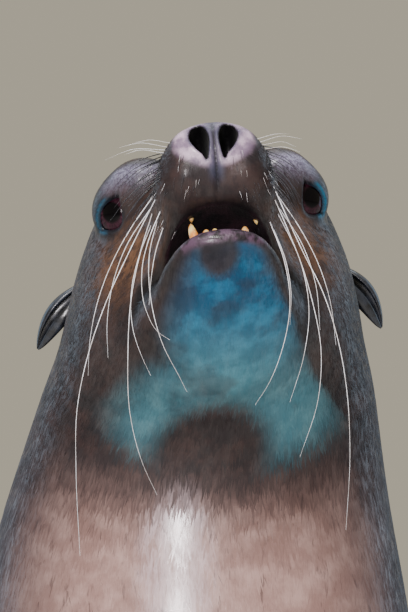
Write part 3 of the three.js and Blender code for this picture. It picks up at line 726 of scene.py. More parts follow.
def face_marks(points, normals, at):
    """The share, from 0 to 1, of each mark of the head and the neck's front by name; the pool's
    reflection, the sheen over the eyes, the lids' glint and the shade in the crease by the jaw are painted
    light.
    """
    back, up, side = skull_place(points)
    side = np.abs(side)
    places = (back, up, side)
    nose = np.sqrt(((up + 1) / 21) ** 2 + (side / 28) ** 2 + (np.maximum(back - 3, 0) / 15) ** 2)
    nostril = nostril_gap(places)
    front = back < 26
    inside = oval(places, *MOUTH)
    mouth = (1 - smoothstep(inside, 0.6, 3.0)) * smoothstep(130 - back, 0, 12)
    lip = smoothstep(up, -69, -65) * smoothstep(-up, 50, 54) * (1 - mouth)
    # Painted shade along the crease where the flews of the upper lip hang over the jaw.
    crease = np.minimum(capsule(places, (46, -54, 35), (98, -49, 46), 0),
                        capsule(places, (98, -49, 46), (136, -50, 52), 0))
    edge = (1 - smoothstep(inside, 2, 10)) * (1 - smoothstep(-up, 42, 50)) * (back < 150)
    lid_back, lid_up, ahead, far = eye_angles(places)
    lid = lid_gap(lid_back, lid_up) * EYE["radius"]
    glint = 0.5 * np.exp(-((lid - 1.0) / 0.8) ** 2) * smoothstep(lid_up + 0.5 * lid_back, -0.1, 0.15)
    glint = glint * (ahead > 0) * (1 - smoothstep(far, 22.5, 25.5)) * (1 - 0.5 * (points[:, 0] < 0))
    # A painted sheen on the ridges over the eyes, only where they face forwards, and fainter on the right
    # side.
    brow = np.sqrt(((back - 76) / 44) ** 2 + ((up - 37) / 25) ** 2 + ((side - 48) / 34) ** 2)
    brow = (1 - smoothstep(brow, 0.25, 1.2)) * (1 - 0.3 * (points[:, 0] < 0))
    # The pool's reflection, painted on surfaces facing down and forwards under the jaw.
    down = -0.55 * normals[:, 1] - 0.8 * normals[:, 2]
    throat_pool_reflection = throat_light(points) * smoothstep(down, -0.1, 0.45)
    jowl = np.exp(-(((back - 84) / 44) ** 2 + ((up + 24) / 20) ** 2))
    septum = np.exp(-(side / 1.2) ** 2) * smoothstep(up, -32, -24) * (1 - smoothstep(up, 8, 16))
    return {
        "nose_pad": 1 - smoothstep(nose, 0.8, 1.04),
        "nostril": 1 - smoothstep(nostril, 0.3, 1.3),
        "nostril_rim": (1 - smoothstep(np.abs(nostril - 0.5), 0.5, 3.5)) * (back < 30),
        "septum": septum * front,
        "slate": np.exp(-(side / 5.0) ** 4) * smoothstep(up, -30, -20) * front,
        "mouth": mouth,
        "lip": lip * (1 - smoothstep(back, 26, 40)),
        "dark_lip_and_crease_shade": np.maximum(0.8 * edge, 0.95 - 0.95 * smoothstep(crease, 4.5, 12)),
        "eye_rim": 1 - smoothstep(oval(places, EYE["place"], (EYE["radius"],) * 3), 2.6, 6.5),
        "lid_glint": glint,
        "brow": brow * smoothstep(-normals[:, 1], 0.1, 0.5) * (1 - smoothstep(normals[:, 2], 0.5, 0.9)),
        "throat_pool_reflection": throat_pool_reflection * (1 - smoothstep(up, -70, -65)) * (at < 420),
        "head": 1 - smoothstep(at, 220, 400),
        "jowl": jowl * smoothstep(side, 26, 36),
    }


def coat_at(points, normals):
    """The coat at points with these outward directions.

    It has the distance along the spine, the coat's own coordinates in millimetres with the first along
    the hairs, the way hairs lie, and the share, from 0 to 1, of each marking by name.
    """
    # Some of the marks are painted light: the pool's reflection, a sheen, glints, a highlight and crease
    # shade.
    at, height, beyond = spine_place(points[:, 1], points[:, 2])
    _centre, along, _up = spine_frame(at)
    flow = np.stack([at + beyond, points[:, 0], height], -1)
    way = np.column_stack([0 * at, along])
    stations = {}
    for name, limb, top, first in (("fore", FORE_PLACE, 400, 0.5), ("shank", SHANK_PLACE, 200, 0.0),
                                   ("foot", FOOT_PLACE, 70, 0.0)):
        low = np.flatnonzero((points[:, 2] < top) & (np.abs(points[:, 0]) > 40))
        t, place, limb_way, outside = limb.find(points[low])
        share = ((1 - smoothstep(outside, 2, 26)) * smoothstep(t, first, first + 1.2))[:, None]
        flow[low] += (place - flow[low]) * share
        way[low] += (limb_way - way[low]) * share
        stations[name] = np.zeros(len(points))
        stations[name][low] = np.where(outside < 14, t, 0)
    way /= np.linalg.norm(way, axis=1, keepdims=True)

    widest = SECTION["widest"](at)
    belly = (widest - height) / (widest - SECTION["belly"](at))
    around = np.degrees(np.arctan2(np.abs(points[:, 0]) / SECTION["half"](at), belly))
    fore, hind = smoothstep(stations["fore"], 3.6, 5.4), smoothstep(stations["foot"], 0.5, 2.0)
    toes = (points[:, 2] < 32) & (points[:, 1] < 460) & (points[:, 1] > 200)
    toes &= np.abs(points[:, 0]) > 110
    marks = face_marks(points, normals, at)
    chest = (1 - smoothstep(around, 25, 80)) * smoothstep(at, 245, 345)
    marks["chest"] = chest * (1 - fore) * (1 - hind)
    # A painted highlight on the wet chest where it faces forwards; the same patch is also glossier and
    # smoother.
    marks["soaked_with_painted_highlight"] = soft_oval(points, (-13, 660), (27, 54)) * (normals[:, 1] < 0)
    marks["flipper"] = np.maximum(np.maximum(fore, hind), toes)
    return at, flow, way, marks


def put_attribute(mesh, name, values):
    values = np.asarray(values, np.float32)
    if values.ndim == 1:
        mesh.attributes.new(name, "FLOAT", "POINT").data.foreach_set("value", values)
    else:
        mesh.attributes.new(name, "FLOAT_VECTOR", "POINT").data.foreach_set("vector", values.ravel())


# ---------------------------------------------------------------- materials


def srgb(red, green, blue):
    """A linear colour from one given in 0 to 255."""
    parts = [v / 255 for v in (red, green, blue)]
    return (*(v / 12.92 if v < 0.04 else ((v + 0.055) / 1.055) ** 2.4 for v in parts), 1.0)


class Graph:
    """Adds shader nodes to a tree; a node's first inputs are given in order."""

    def __init__(self, tree):
        self.tree = tree

    def node(self, kind, *values, out=0, **settings):
        node = self.tree.nodes.new("ShaderNode" + kind)
        for key, value in settings.items():
            setattr(node, key, value)
        for socket, value in zip(node.inputs, values):
            self.feed(socket, value)
        return node.outputs[out]

    def feed(self, socket, value):
        if isinstance(value, bpy.types.NodeSocket):
            self.tree.links.new(value, socket)
        elif value is not None:
            socket.default_value = value

    def attribute(self, name, out=2):
        return self.node("Attribute", attribute_name=name, out=out)

    def math(self, operation, *values):
        return self.node("Math", *values, operation=operation)

    def stretch(self, vector, scale):
        return self.node("VectorMath", vector, scale, operation="MULTIPLY")

    def noise(self, vector, scale, detail=2.0, rough=0.5):
        return self.node("TexNoise", vector, None, scale, detail, rough)

    def band(self, value, low, high, start=0.0, end=1.0):
        return self.node("MapRange", value, low, high, start, end, interpolation_type="SMOOTHSTEP")

    def mix(self, share, a, b):
        return self.node("MixRGB", share, a, b)


def shader_group(name, outputs, build):
    """A node group with these outputs; build gives their sockets from its graph."""
    group = bpy.data.node_groups.new(name, "ShaderNodeTree")
    for label, kind in outputs:
        group.interface.new_socket(label, in_out="OUTPUT", socket_type=kind)
    end = group.nodes.new("NodeGroupOutput")
    for socket, value in zip(end.inputs, build(Graph(group))):
        group.links.new(value, socket)
    return group


def finish_material(name, settings, build):
    """A material on one shader; settings are its constant values, build gives what is linked."""
    material = bpy.data.materials.new(name)
    material.use_nodes = True
    graph = Graph(material.node_tree)
    shader = material.node_tree.nodes["Principled BSDF"]
    for label, value in settings.items():
        shader.inputs[label].default_value = value
    for label, value in build(graph).items():
        graph.feed(shader.inputs[label], value)
    return material


def use_group(graph, group):
    node = graph.tree.nodes.new("ShaderNodeGroup")
    node.node_tree = group
    return {socket.name: socket for socket in node.outputs}


def bump(graph, height, strength, distance):
    return graph.node("Bump", strength, distance, None, height)


MARKS = ("nose_pad", "nostril", "nostril_rim", "septum", "slate", "mouth", "lip", "dark_lip_and_crease_shade", "eye_rim",
         "lid_glint", "brow", "throat_pool_reflection", "chest", "head", "jowl", "soaked_with_painted_highlight", "flipper")
# Darker and lighter colour of each finish, in 0 to 255; the two blue-green ones are the pool's painted
# reflection under the jaw, the lavender over the eyes is a painted sheen, and the pad of the nose is
# partly a painted sheen.
TONES = {
    "back": ((44, 38, 44), (66, 57, 61)), "chest": ((130, 102, 97), (158, 130, 125)),
    "face": ((19, 12, 14), (48, 32, 29)), "brow": ((106, 98, 128), (178, 178, 208)),
    "throat_pool_reflection": ((66, 124, 140), (0, 74, 112)), "bright throat": ((84, 142, 156), (0, 108, 150)),
    "bare skin": ((30, 25, 29), (52, 43, 46)), "nose pad with painted sheen": ((112, 94, 116), (176, 154, 174)),
    "lip": ((24, 17, 23), (76, 57, 75)), "mouth": ((14, 8, 12), (40, 22, 30)),
}
# Colours laid on at one strength; among them are a painted highlight on the chest, painted shade in the
# crease by the jaw and a painted glint on the lids.
PLAIN_TONES = {
    "jowl": (112, 80, 58), "soaked_with_painted_highlight": (200, 180, 188), "lock": (30, 22, 26), "nostril_rim": (64, 62, 84),
    "slate": (58, 60, 80), "septum": (10, 9, 16), "eye_rim": (12, 12, 20), "lid_glint": (30, 128, 168),
    "dark_lip_and_crease_shade": (12, 9, 13), "nostril": (5, 4, 6),
}


def build_coat_group(graph):
    """Colour, roughness, wetness and relief of the coat and bare skin from their marks; some colours are
    painted light: the pool's reflection, sheens, the lids' glint, the chest's highlight and crease shade.
    """
    flow = graph.attribute("flow", 1)
    marks = {name: graph.attribute(name) for name in MARKS}

    def times(*values):
        return graph.math("MULTIPLY", *values)

    def plus(*values):
        return graph.math("ADD", *values)

    def tone(share, name):
        return graph.mix(share, *(srgb(*colour) for colour in TONES[name]))

    def paint(share, under, name):
        return graph.mix(share, under, srgb(*PLAIN_TONES[name]))

    hairs = graph.noise(graph.stretch(flow, (0.07, 0.85, 0.85)), 1.0, 3.0, 0.6)
    locks = graph.noise(graph.stretch(flow, (0.03, 0.22, 0.22)), 1.0, 3.0, 0.55)
    patches = graph.noise(flow, 0.016, 3.0, 0.55)
    mottle = graph.noise(flow, 0.05, 4.0, 0.6)

    coat = graph.mix(marks["chest"], tone(graph.band(patches, 0.35, 0.68), "back"),
                     tone(graph.band(mottle, 0.35, 0.7), "chest"))
    coat = graph.mix(times(marks["head"], 0.8), coat, tone(graph.band(mottle, 0.38, 0.66), "face"))
    coat = paint(times(marks["jowl"], graph.band(locks, 0.35, 0.6, 0.1, 0.8)), coat, "jowl")
    # The painted sheen over the eyes.
    coat = graph.mix(times(marks["brow"], 0.85), coat, tone(graph.band(hairs, 0.36, 0.62), "brow"))
    # The chest's painted highlight, paler in the locks.
    coat = paint(times(marks["soaked_with_painted_highlight"], graph.band(locks, 0.3, 0.6, 0.05, 0.5)), coat, "soaked_with_painted_highlight")
    coat = paint(times(graph.band(locks, 0.58, 0.72), 0.55), coat, "lock")

    # The pool's reflection painted blue-green under the jaw, brighter higher up and broken into patches.
    place = graph.tree.nodes.new("ShaderNodeSeparateXYZ")
    graph.feed(place.inputs[0], graph.node("TexCoord", out=3))
    deep = graph.band(place.outputs[2], 0.765, 0.845)
    pool_reflection_colour = graph.mix(graph.band(mottle, 0.42, 0.66), tone(deep, "throat_pool_reflection"), tone(deep, "bright throat"))
    patchy = graph.band(graph.noise(flow, 0.03, 3.0), 0.32, 0.48, 0.55, 1.0)
    coat = graph.mix(times(times(marks["throat_pool_reflection"], patchy), 0.9), coat, pool_reflection_colour)

    coat = graph.mix(marks["flipper"], coat, tone(graph.band(mottle, 0.4, 0.65), "bare skin"))
    # The pad of the nose: its own lavender-grey, lightened toward a painted sheen of the sky.
    pad = tone(graph.band(graph.noise(flow, 0.12, 3.0), 0.35, 0.65), "nose pad with painted sheen")
    pad = paint(times(marks["nostril_rim"], 0.75), pad, "nostril_rim")
    coat = graph.mix(marks["nose_pad"], coat, pad)
    for name, strength in (("slate", 0.8), ("septum", 0.95), ("eye_rim", 0.92), ("lid_glint", 0.9)):
        coat = paint(times(marks[name], strength), coat, name)
    # The lip's own dark edge, and painted shade in the crease by the jaw.
    coat = paint(marks["dark_lip_and_crease_shade"], coat, "dark_lip_and_crease_shade")
    lip = tone(graph.band(graph.noise(flow, 0.16, 3.0), 0.35, 0.62), "lip")
    coat = graph.mix(marks["lip"], coat, lip)
    coat = graph.mix(marks["mouth"], coat, tone(graph.band(mottle, 0.4, 0.6), "mouth"))
    coat = paint(marks["nostril"], coat, "nostril")

    smooth = graph.math("MAXIMUM", marks["mouth"], marks["lip"])
    smooth = graph.math("MAXIMUM", marks["nose_pad"], smooth)
    furry = graph.math("SUBTRACT", 1.0, smooth)
    relief = plus(times(hairs, 0.5), times(locks, 0.8))
    relief = times(relief, graph.band(furry, 0.0, 1.0, 0.15, 1.0))
    pores = graph.node("TexVoronoi", flow, None, 0.75)
    relief = plus(relief, times(times(pores, smooth), 0.5))
    across = graph.tree.nodes.new("ShaderNodeSeparateXYZ")
    graph.feed(across.inputs[0], flow)
    digits = graph.math("SINE", times(across.outputs[2], 0.3))
    wrinkles = graph.noise(graph.stretch(flow, (0.3, 0.07, 0.07)), 1.0, 3.0, 0.6)
    folded = plus(times(digits, 0.9), times(wrinkles, 1.6))
    relief = plus(relief, times(folded, marks["flipper"]))
    relief = times(relief, graph.band(marks["soaked_with_painted_highlight"], 0.0, 1.0, 1.0, 0.35))

    rough = graph.band(hairs, 0.3, 0.7, 0.36, 0.58)
    rough = graph.mix(marks["chest"], rough, graph.band(locks, 0.35, 0.65, 0.24, 0.4))
    rough = graph.mix(marks["soaked_with_painted_highlight"], rough, graph.band(locks, 0.35, 0.65, 0.2, 0.32))
    wet = graph.band(locks, 0.3, 0.62, 0.32, 0.05)
    wet = plus(wet, times(marks["chest"], graph.band(patches, 0.4, 0.56, 0.0, 0.3)))
    wet = graph.math("MAXIMUM", wet, times(marks["soaked_with_painted_highlight"], graph.band(locks, 0.28, 0.4, 0.4, 1.0)))
    return coat, rough, wet, relief


def coat_material(name, group, distance):
    def build(graph):
        coat = use_group(graph, group)
        return {"Base Color": coat["Color"], "Roughness": coat["Roughness"], "Coat Weight": coat["Wet"],
                "Normal": bump(graph, coat["Relief"], 0.7, distance)}
    return finish_material(name, {"Coat Roughness": 0.17, "Specular IOR Level": 0.24,
                                  "Sheen Weight": 0.02, "Sheen Roughness": 0.5}, build)


def plain_material(name, light, dark, scale, roughness, settings=None, depth=0.0002):
    """A mottled finish for small parts."""
    def build(graph):
        place = graph.node("TexCoord", out=3)
        spots = graph.noise(place, scale, 4.0, 0.6)
        return {"Base Color": graph.mix(graph.band(spots, 0.35, 0.65), light, dark),
                "Roughness": graph.band(spots, 0.3, 0.7, roughness - 0.06, roughness + 0.08),
                "Normal": bump(graph, spots, 0.6, depth)}
    return finish_material(name, settings or {}, build)


# ---------------------------------------------------------------- the pieces


def read_points(mesh):
    points = np.empty(len(mesh.vertices) * 3, np.float32)
    mesh.vertices.foreach_get("co", points)
    return points.reshape(-1, 3).astype(float)


def read_normals(mesh):
    normals = np.empty(len(mesh.vertices) * 3, np.float32)
    mesh.vertex_normals.foreach_get("vector", normals)
    return normals.reshape(-1, 3).astype(float)


def skin_piece(material):
    body = skin_shape()
    mesh = bpy.data.meshes.new("skin")
    body.to_mesh(mesh)
    body.free()
    straight = read_points(mesh)
    normals = read_normals(mesh)
    mesh.vertices.foreach_set("co", set_down(straight).astype(np.float32).ravel())
    mesh.polygons.foreach_set("use_smooth", np.ones(len(mesh.polygons), bool))
    mesh.update()
    _at, flow, _way, marks = coat_at(straight, normals)
    put_attribute(mesh, "flow", flow)
    for name, values in marks.items():
        put_attribute(mesh, name, values)
    mesh.materials.append(material)
    piece = bpy.data.objects.new("skin", mesh)
    bpy.context.scene.collection.objects.link(piece)
    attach(piece, "root")
    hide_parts("nose", "head", "lower_jaw", "neck", "chest", "belly", "loins", "hips", "tail",
                *(f"{part}_{side}" for side in ("left", "right")
                  for part in ("fore_limb", "fore_flipper", "hind_limb", "hind_flipper")))
    return piece, straight, normals


def eye_piece(side, material):
    """An eyeball whose rings lie round the way it looks; the clear front bulges."""
    name = "left" if side > 0 else "right"
    look = skull_direction(LOOK[0], LOOK[1], LOOK[2] * side)
    look /= np.linalg.norm(look)
    across = np.cross(look, (0, 0, 1.0))
    across /= np.linalg.norm(across)
    up = np.cross(across, look)
    back, height, out = EYE["place"]
    centre = on_skull((back, height, out * side))
    angle = np.pi * np.linspace(0, 1, 45)[1:-1]
    turn = 2 * np.pi * np.arange(64) / 64
    radius = EYE["radius"] - 0.1 + 0.5 * (1 - smoothstep(angle, 0.2, 0.75))
    ring = np.cos(turn)[None, :, None] * across + np.sin(turn)[None, :, None] * up
    rings = centre + radius[:, None, None] * (
        np.cos(angle)[:, None, None] * look + np.sin(angle)[:, None, None] * ring)
    points, quads, fans = loft_mesh(rings)
    points[-2] = centre + look * (EYE["radius"] + 0.4)
    points[-1] = centre - look * (EYE["radius"] - 0.1)
    piece = mesh_piece("eyeball_" + name, set_down(points), facing_out(points, quads),
                       facing_out(points, fans))
    apart = points - centre
    apart /= np.linalg.norm(apart, axis=1, keepdims=True)
    put_attribute(piece.data, "gaze", np.stack([apart @ across, apart @ up, apart @ look], -1))
    piece.data.materials.append(material)
    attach(piece, "root")
    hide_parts("eye_" + name)


def eye_material():
    def build(graph):
        gaze = graph.attribute("gaze", 1)
        parts = graph.tree.nodes.new("ShaderNodeSeparateXYZ")
        graph.feed(parts.inputs[0], gaze)
        ring = graph.math("ARCCOSINE", parts.outputs[2])
        turn = graph.math("ARCTAN2", parts.outputs[0], parts.outputs[1])
        fibres = graph.noise(graph.node("CombineXYZ", graph.math("MULTIPLY", turn, 9.0),
                                        graph.math("MULTIPLY", ring, 3.0), 0.0), 1.0, 4.0, 0.6)
        iris = graph.mix(graph.band(fibres, 0.3, 0.7), srgb(26, 11, 19), srgb(60, 28, 42))
        iris = graph.mix(graph.band(ring, 0.3, 0.42, 1.0, 0.0), iris, srgb(3, 2, 4))
        iris = graph.mix(graph.band(ring, 0.62, 0.74), iris, srgb(9, 4, 6))
        iris = graph.mix(graph.band(ring, 0.9, 1.15), iris, srgb(26, 16, 26))
        return {"Base Color": iris, "Roughness": graph.band(fibres, 0.2, 0.8, 0.06, 0.12),
                "Normal": bump(graph, fibres, 0.1, 0.0001)}
    return finish_material("wet eye", {"Coat Weight": 0.2, "Coat Roughness": 0.02,
                                       "Specular IOR Level": 0.06}, build)


def ear_piece(side, material):
    """A small leaf rolled nearly closed, with its slit forwards and down."""
    name = "left" if side > 0 else "right"
    back, up, out = EAR["place"]
    way = skull_direction(EAR["way"][0], EAR["way"][1], EAR["way"][2] * side)
    way /= np.linalg.norm(way)
    front = skull_direction(-1, -0.25, 0.55 * side)
    front -= way * (front @ way)
    front /= np.linalg.norm(front)
    wide = np.cross(way, front) * side
    t = np.linspace(0, 1, 34)
    full = np.sqrt(np.maximum(1 - t ** 2.6, 0.02)) * (0.66 + 1.1 * t * (1 - t))
    bend = 5.0 * np.sin(np.pi * t) - 7 * t ** 2
    centre = on_skull((back, up, out * side)) + way * (EAR["length"] * t - EAR["buried"])[:, None]
    centre = centre + front * bend[:, None]
    outer = np.radians(np.linspace(-158, 158, 26)) + np.pi
    inner = outer[::-1]
    loop = []
    for turns, thick in ((outer, 1.0), (inner, 0.70)):
        for turn in turns:
            sideways = np.sin(turn) * EAR["width"] / 2 * thick * full
            deep = np.cos(turn) * EAR["thickness"] * (thick - 0.04) * full
            loop.append(centre + wide * sideways[:, None] + front * deep[:, None])
    points, quads, _fans = loft_mesh(np.stack(loop, 1))
    piece = mesh_piece("ear_shell_" + name, set_down(points), facing_out(points, quads))
    bowl = bmesh.new()
    bowl.from_mesh(piece.data)
    bmesh.ops.contextual_create(bowl, geom=[e for e in bowl.edges if e.is_boundary])
    bmesh.ops.triangulate(bowl, faces=[f for f in bowl.faces if len(f.verts) > 4])
    bowl.to_mesh(piece.data)
    bowl.free()
    piece.data.polygons.foreach_set("use_smooth", np.ones(len(piece.data.polygons), bool))
    piece.data.materials.append(material)
    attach(piece, "root")
    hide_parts("ear_" + name)


def cone_points(root, tip, radius, bend, rings=9, sides=12, blunt=0.25):
    """A curved tooth from root to tip, as rings."""
    root, tip, bend = (np.array(v, float) for v in (root, tip, bend))
    t = np.linspace(0, 1, rings)
    centre = root + (tip - root) * t[:, None] + bend * (4 * t * (1 - t))[:, None]
    thick = radius * np.sqrt(np.maximum(1 - t ** (2 - blunt), 0.02))
    way = (tip - root) / np.linalg.norm(tip - root)
    a = np.cross(way, (1.0, 0.3, 0))
    a /= np.linalg.norm(a)
    b = np.cross(way, a)
    turn = 2 * np.pi * np.arange(sides) / sides
    ring = np.cos(turn)[None, :, None] * a + np.sin(turn)[None, :, None] * b
    return centre[:, None] + ring * thick[:, None, None]


def joined_lofts(name, lofts):
    """One piece of several closed lofts, given as straight rings."""
    points, quads, fans, count = [], [], [], 0
    for rings in lofts:
        part, part_quads, part_fans = loft_mesh(rings)
        points.append(part)
        quads.append(facing_out(part, part_quads) + count)
        fans.append(facing_out(part, part_fans) + count)
        count += len(part)
    return mesh_piece(name, set_down(np.concatenate(points)), np.concatenate(quads), np.concatenate(fans))


def teeth_pieces(material):
    for side, name, up, out in ((1, "left", -49, 12.5), (-1, "right", -44, 15.5)):
        rings = cone_points(on_skull((31, -60, out * side)), on_skull((32, up, (out + 2.9) * side)), 3.3,
                            skull_direction(-1.0, 0, 0.8 * side), 14, 18)
        canine = joined_lofts("lower_canine_" + name, [rings])
        canine.data.materials.append(material)
        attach(canine, "root")
        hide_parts("canine_" + name)
    lofts = []
    for place, up in ((-9.5, -51.8), (-4.0, -51.6), (1.5, -53.5), (6.5, -53.5)):
        lofts.append(cone_points(on_skull((28, -58, place)), on_skull((28, up, place)), 3.2, (0, 0, 0)))
    for back, up, place, drop, thick in ((42, -30, -17, 5.5, 2.8), (46, -31, 24, 7, 3.0)):
        lofts.append(cone_points(on_skull((back, up + 6, place)), on_skull((back, up - drop, place)),
                                 thick, (0, 0, 0)))
    small = joined_lofts("small_teeth", lofts)
    small.data.materials.append(material)
    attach(small, "root")


# ---------------------------------------------------------------- whiskers and hairs

# Whiskers as the camera sees them: root, then points down to the tip, across and down the view.
VIEW = (408, 612)  # width and height of the camera's view; hairs are drawn in it
VIEW_MIDDLE = 212  # the muzzle's middle in it
SNOUT_REACH = -0.475  # whiskers are rooted in front of this
WHISKERS = [
    [(155, 200), (130, 250), (103, 310), (88, 355), (77, 410), (76, 470), (80, 556)],
    [(152, 214), (141, 250), (131, 300), (128, 350), (131, 420), (142, 462), (157, 495)],
    [(160, 212), (150, 236), (142, 270), (146, 310), (158, 332), (170, 340)],
    [(157, 222), (150, 250), (151, 300), (163, 345), (180, 378), (187, 392)],
    [(148, 226), (138, 255), (131, 290), (133, 330), (142, 357), (151, 376)],
    [(146, 208), (125, 245), (112, 285), (107, 325), (108, 358)],
    [(150, 198), (130, 228), (112, 262), (98, 300), (90, 340), (88, 376)],
    [(163, 228), (156, 250), (151, 280), (149, 305)],
    [(273, 185), (286, 215), (303, 252), (322, 290), (338, 340), (347, 392), (350, 450), (346, 530)],
    [(275, 200), (290, 235), (303, 270), (309, 310), (304, 355), (290, 402)],
    [(278, 214), (296, 250), (312, 300), (321, 350), (318, 400), (300, 457)],
    [(270, 222), (284, 260), (290, 300), (282, 350), (268, 385), (255, 405)],
    [(281, 196), (300, 226), (318, 262), (330, 300), (336, 345)],
    [(274, 230), (286, 262), (291, 292), (290, 325)],
    [(284, 208), (304, 245), (316, 285), (320, 330)],
]
# Short dark hairs from the muzzle's sides towards the eyes, and bristles on its top and the brows.
DARK_HAIRS = [
    [(160, 163), (138, 176), (118, 196)], [(159, 170), (136, 186), (114, 212)],
    [(160, 177), (140, 190), (120, 208)], [(158, 184), (138, 204), (122, 228)],
    [(157, 156), (140, 166), (122, 182)], [(156, 190), (140, 208), (128, 236)],
    [(268, 158), (286, 170), (302, 190)], [(270, 165), (288, 180), (300, 204)],
    [(270, 172), (286, 190), (296, 212)], [(272, 180), (290, 198), (304, 222)],
    [(270, 150), (288, 158), (304, 172)], [(273, 188), (288, 206), (297, 232)],
]
TOP_HAIRS = [
    [(160, 150), (134, 149), (105, 160)], [(162, 147), (140, 143), (118, 148)],
    [(158, 153), (140, 150), (124, 155)], [(166, 143), (150, 140), (134, 143)],
    [(262, 142), (282, 136), (302, 139)], [(264, 145), (284, 142), (296, 147)],
    [(258, 139), (276, 134), (290, 134)], [(266, 149), (284, 147), (300, 152)],
]


def view_ray(across, down):
    """The camera's place and direction through a place of its view."""
    wide, high = VIEW
    camera = bpy.context.scene.camera
    scale = camera.data.sensor_width / camera.data.lens / high
    return Vector(camera.location), Vector(((across - wide / 2) * scale, 1.0, (high / 2 - down) * scale))


def smooth_line(points, count):
    """Points evenly along a smooth line through given ones, by columns."""
    points = np.array(points, float)
    at = np.concatenate([[0], np.cumsum(np.linalg.norm(np.diff(points[:, :2], axis=0), axis=1))])
    t = np.linspace(0, at[-1], count)
    slopes = np.gradient(points, at, axis=0)
    i = np.clip(np.searchsorted(at, t, side="right") - 1, 0, len(at) - 2)
    span = (at[i + 1] - at[i])[:, None]
    b = ((t - at[i])[:, None]) / span
    a = 1 - b
    return (a * a * (1 + 2 * b) * points[i] + b * b * (3 - 2 * b) * points[i + 1]
            + span * b * a * (a * slopes[i] - b * slopes[i + 1]))


def hair_line(tree, seen, count, bow, clear=0.004, reach=1.0):
    """A hair in metres, rooted in skin nearer than reach, that bows out before what lies behind."""
    seen = smooth_line(seen, count)
    while True:
        root = tree.ray_cast(*view_ray(*seen[0]))[0]
        if root is not None and root.y <= reach:
            break
        # The root moves towards the middle of the face, and the tip stays.
        seen[:, 0] += math.copysign(1.0, VIEW_MIDDLE - seen[0, 0]) * (1 - np.linspace(0, 1, count)) ** 3
    depth = np.empty(count)
    for i, (across, down) in enumerate(seen):
        hit = tree.ray_cast(*view_ray(across, down))[0]
        t = i / (count - 1)
        behind = hit.y - clear * min(1.0, 3 * t) if hit else 1.0
        depth[i] = min(root.y - bow * t * (1.6 - t), behind)
    for _ in range(3):
        depth[1:-1] = np.minimum(depth[1:-1], (depth[:-2] + depth[2:]) / 2)
    line = []
    for (across, down), y in zip(seen, depth):
        eye, way = view_ray(across, down)
        line.append(eye + way * (y - eye.y))
    line = np.array([tuple(v) for v in line])
    line[0] += (line[0] - line[1]) * 0.5 / max(np.linalg.norm(line[0] - line[1]) * 1000, 0.5)
    return line


def tube_rings(line, radius, sides=6, tip=0.2):
    """Rings of a hair that tapers to its tip."""
    way = np.gradient(line, axis=0)
    way /= np.linalg.norm(way, axis=1, keepdims=True)
    a = np.cross(way, (0.3, 1.0, 0.1))
    a /= np.linalg.norm(a, axis=1, keepdims=True)
    b = np.cross(way, a)
    thick = radius * (1 - (1 - tip) * np.linspace(0, 1, len(line)) ** 1.3)
    turn = 2 * np.pi * np.arange(sides) / sides
    ring = np.cos(turn)[None, :, None] * a[:, None] + np.sin(turn)[None, :, None] * b[:, None]
    return line[:, None] + ring * thick[:, None, None]


def hairs_piece(name, lines, radius, material, sides=6):
    """One piece of many tapered hairs; each line of points comes in metres."""
    points, quads, fans, count = [], [], [], 0
    for line, thick in zip(lines, radius):
        part, part_quads, part_fans = loft_mesh(tube_rings(line, thick, sides))
        points.append(part)
        quads.append(facing_out(part, part_quads) + count)
        fans.append(facing_out(part, part_fans) + count)
        count += len(part)
    piece = mesh_piece(name, np.concatenate(points), np.concatenate(quads), np.concatenate(fans))
    piece.data.materials.append(material)
    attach(piece, "root")


def face_hairs(tree, pale, dark):
    hairs_piece("whiskers", [hair_line(tree, seen, 34, 0.03, reach=SNOUT_REACH) for seen in WHISKERS],
                [0.0003] * len(WHISKERS), pale, 7)
    rng = np.random.default_rng(5)
    lines = []
    for seen in DARK_HAIRS:
        for _ in range(3):
            shift = rng.normal(0, 2.2, 2)
            reach = rng.uniform(0.75, 1.1)
            (x0, y0), near = seen[0], []
            for k, (x, y) in enumerate(seen):
                near.append((x0 + (x - x0) * reach + shift[0],
                             y0 + (y - y0) * reach + shift[1] * (1 + k * 0.6)))
            lines.append(hair_line(tree, near, 14, 0.006, 0.003, SNOUT_REACH))
    hairs_piece("dark_hairs", lines, [0.00034] * len(lines), dark)
    hairs_piece("top_bristles", [hair_line(tree, seen, 14, 0.006) for seen in TOP_HAIRS],
                [0.00013] * len(TOP_HAIRS), pale)
    stubble = []
    while len(stubble) < 80:
        across, down = rng.uniform(150, 282), rng.uniform(150, 232)
        side = (across - 216) / 62
        if abs(side) < 0.25 or (abs(side) < 0.62 and down > 196):
            continue
        long, fan = rng.uniform(5, 12), side * 0.5 + rng.normal(0, 0.15)
        tip = (across + long * math.sin(fan), down + long * math.cos(fan))
        middle = ((across + tip[0]) / 2, (down + tip[1]) / 2)
        if tree.ray_cast(*view_ray(across, down))[0] is not None:
            stubble.append(hair_line(tree, [(across, down), middle, tip], 8, 0.001, 0.0008))
    hairs_piece("pale_stubble", stubble[:26], [0.00008] * 26, pale)
    hairs_piece("dark_stubble", stubble[26:], [0.00014] * 54, dark)


# ---------------------------------------------------------------- the coat's tufts


def unwrap(piece):
    """An unwrap of the piece's own shape, as a map for the looks."""
    bpy.context.view_layer.objects.active = piece
    piece.data.uv_layers.new(name="OFBake")
    bpy.ops.object.mode_set(mode="EDIT")
    bpy.ops.mesh.select_all(action="SELECT")
    bpy.ops.uv.smart_project(angle_limit=math.radians(72), island_margin=0.0015)
    bpy.ops.object.mode_set(mode="OBJECT")


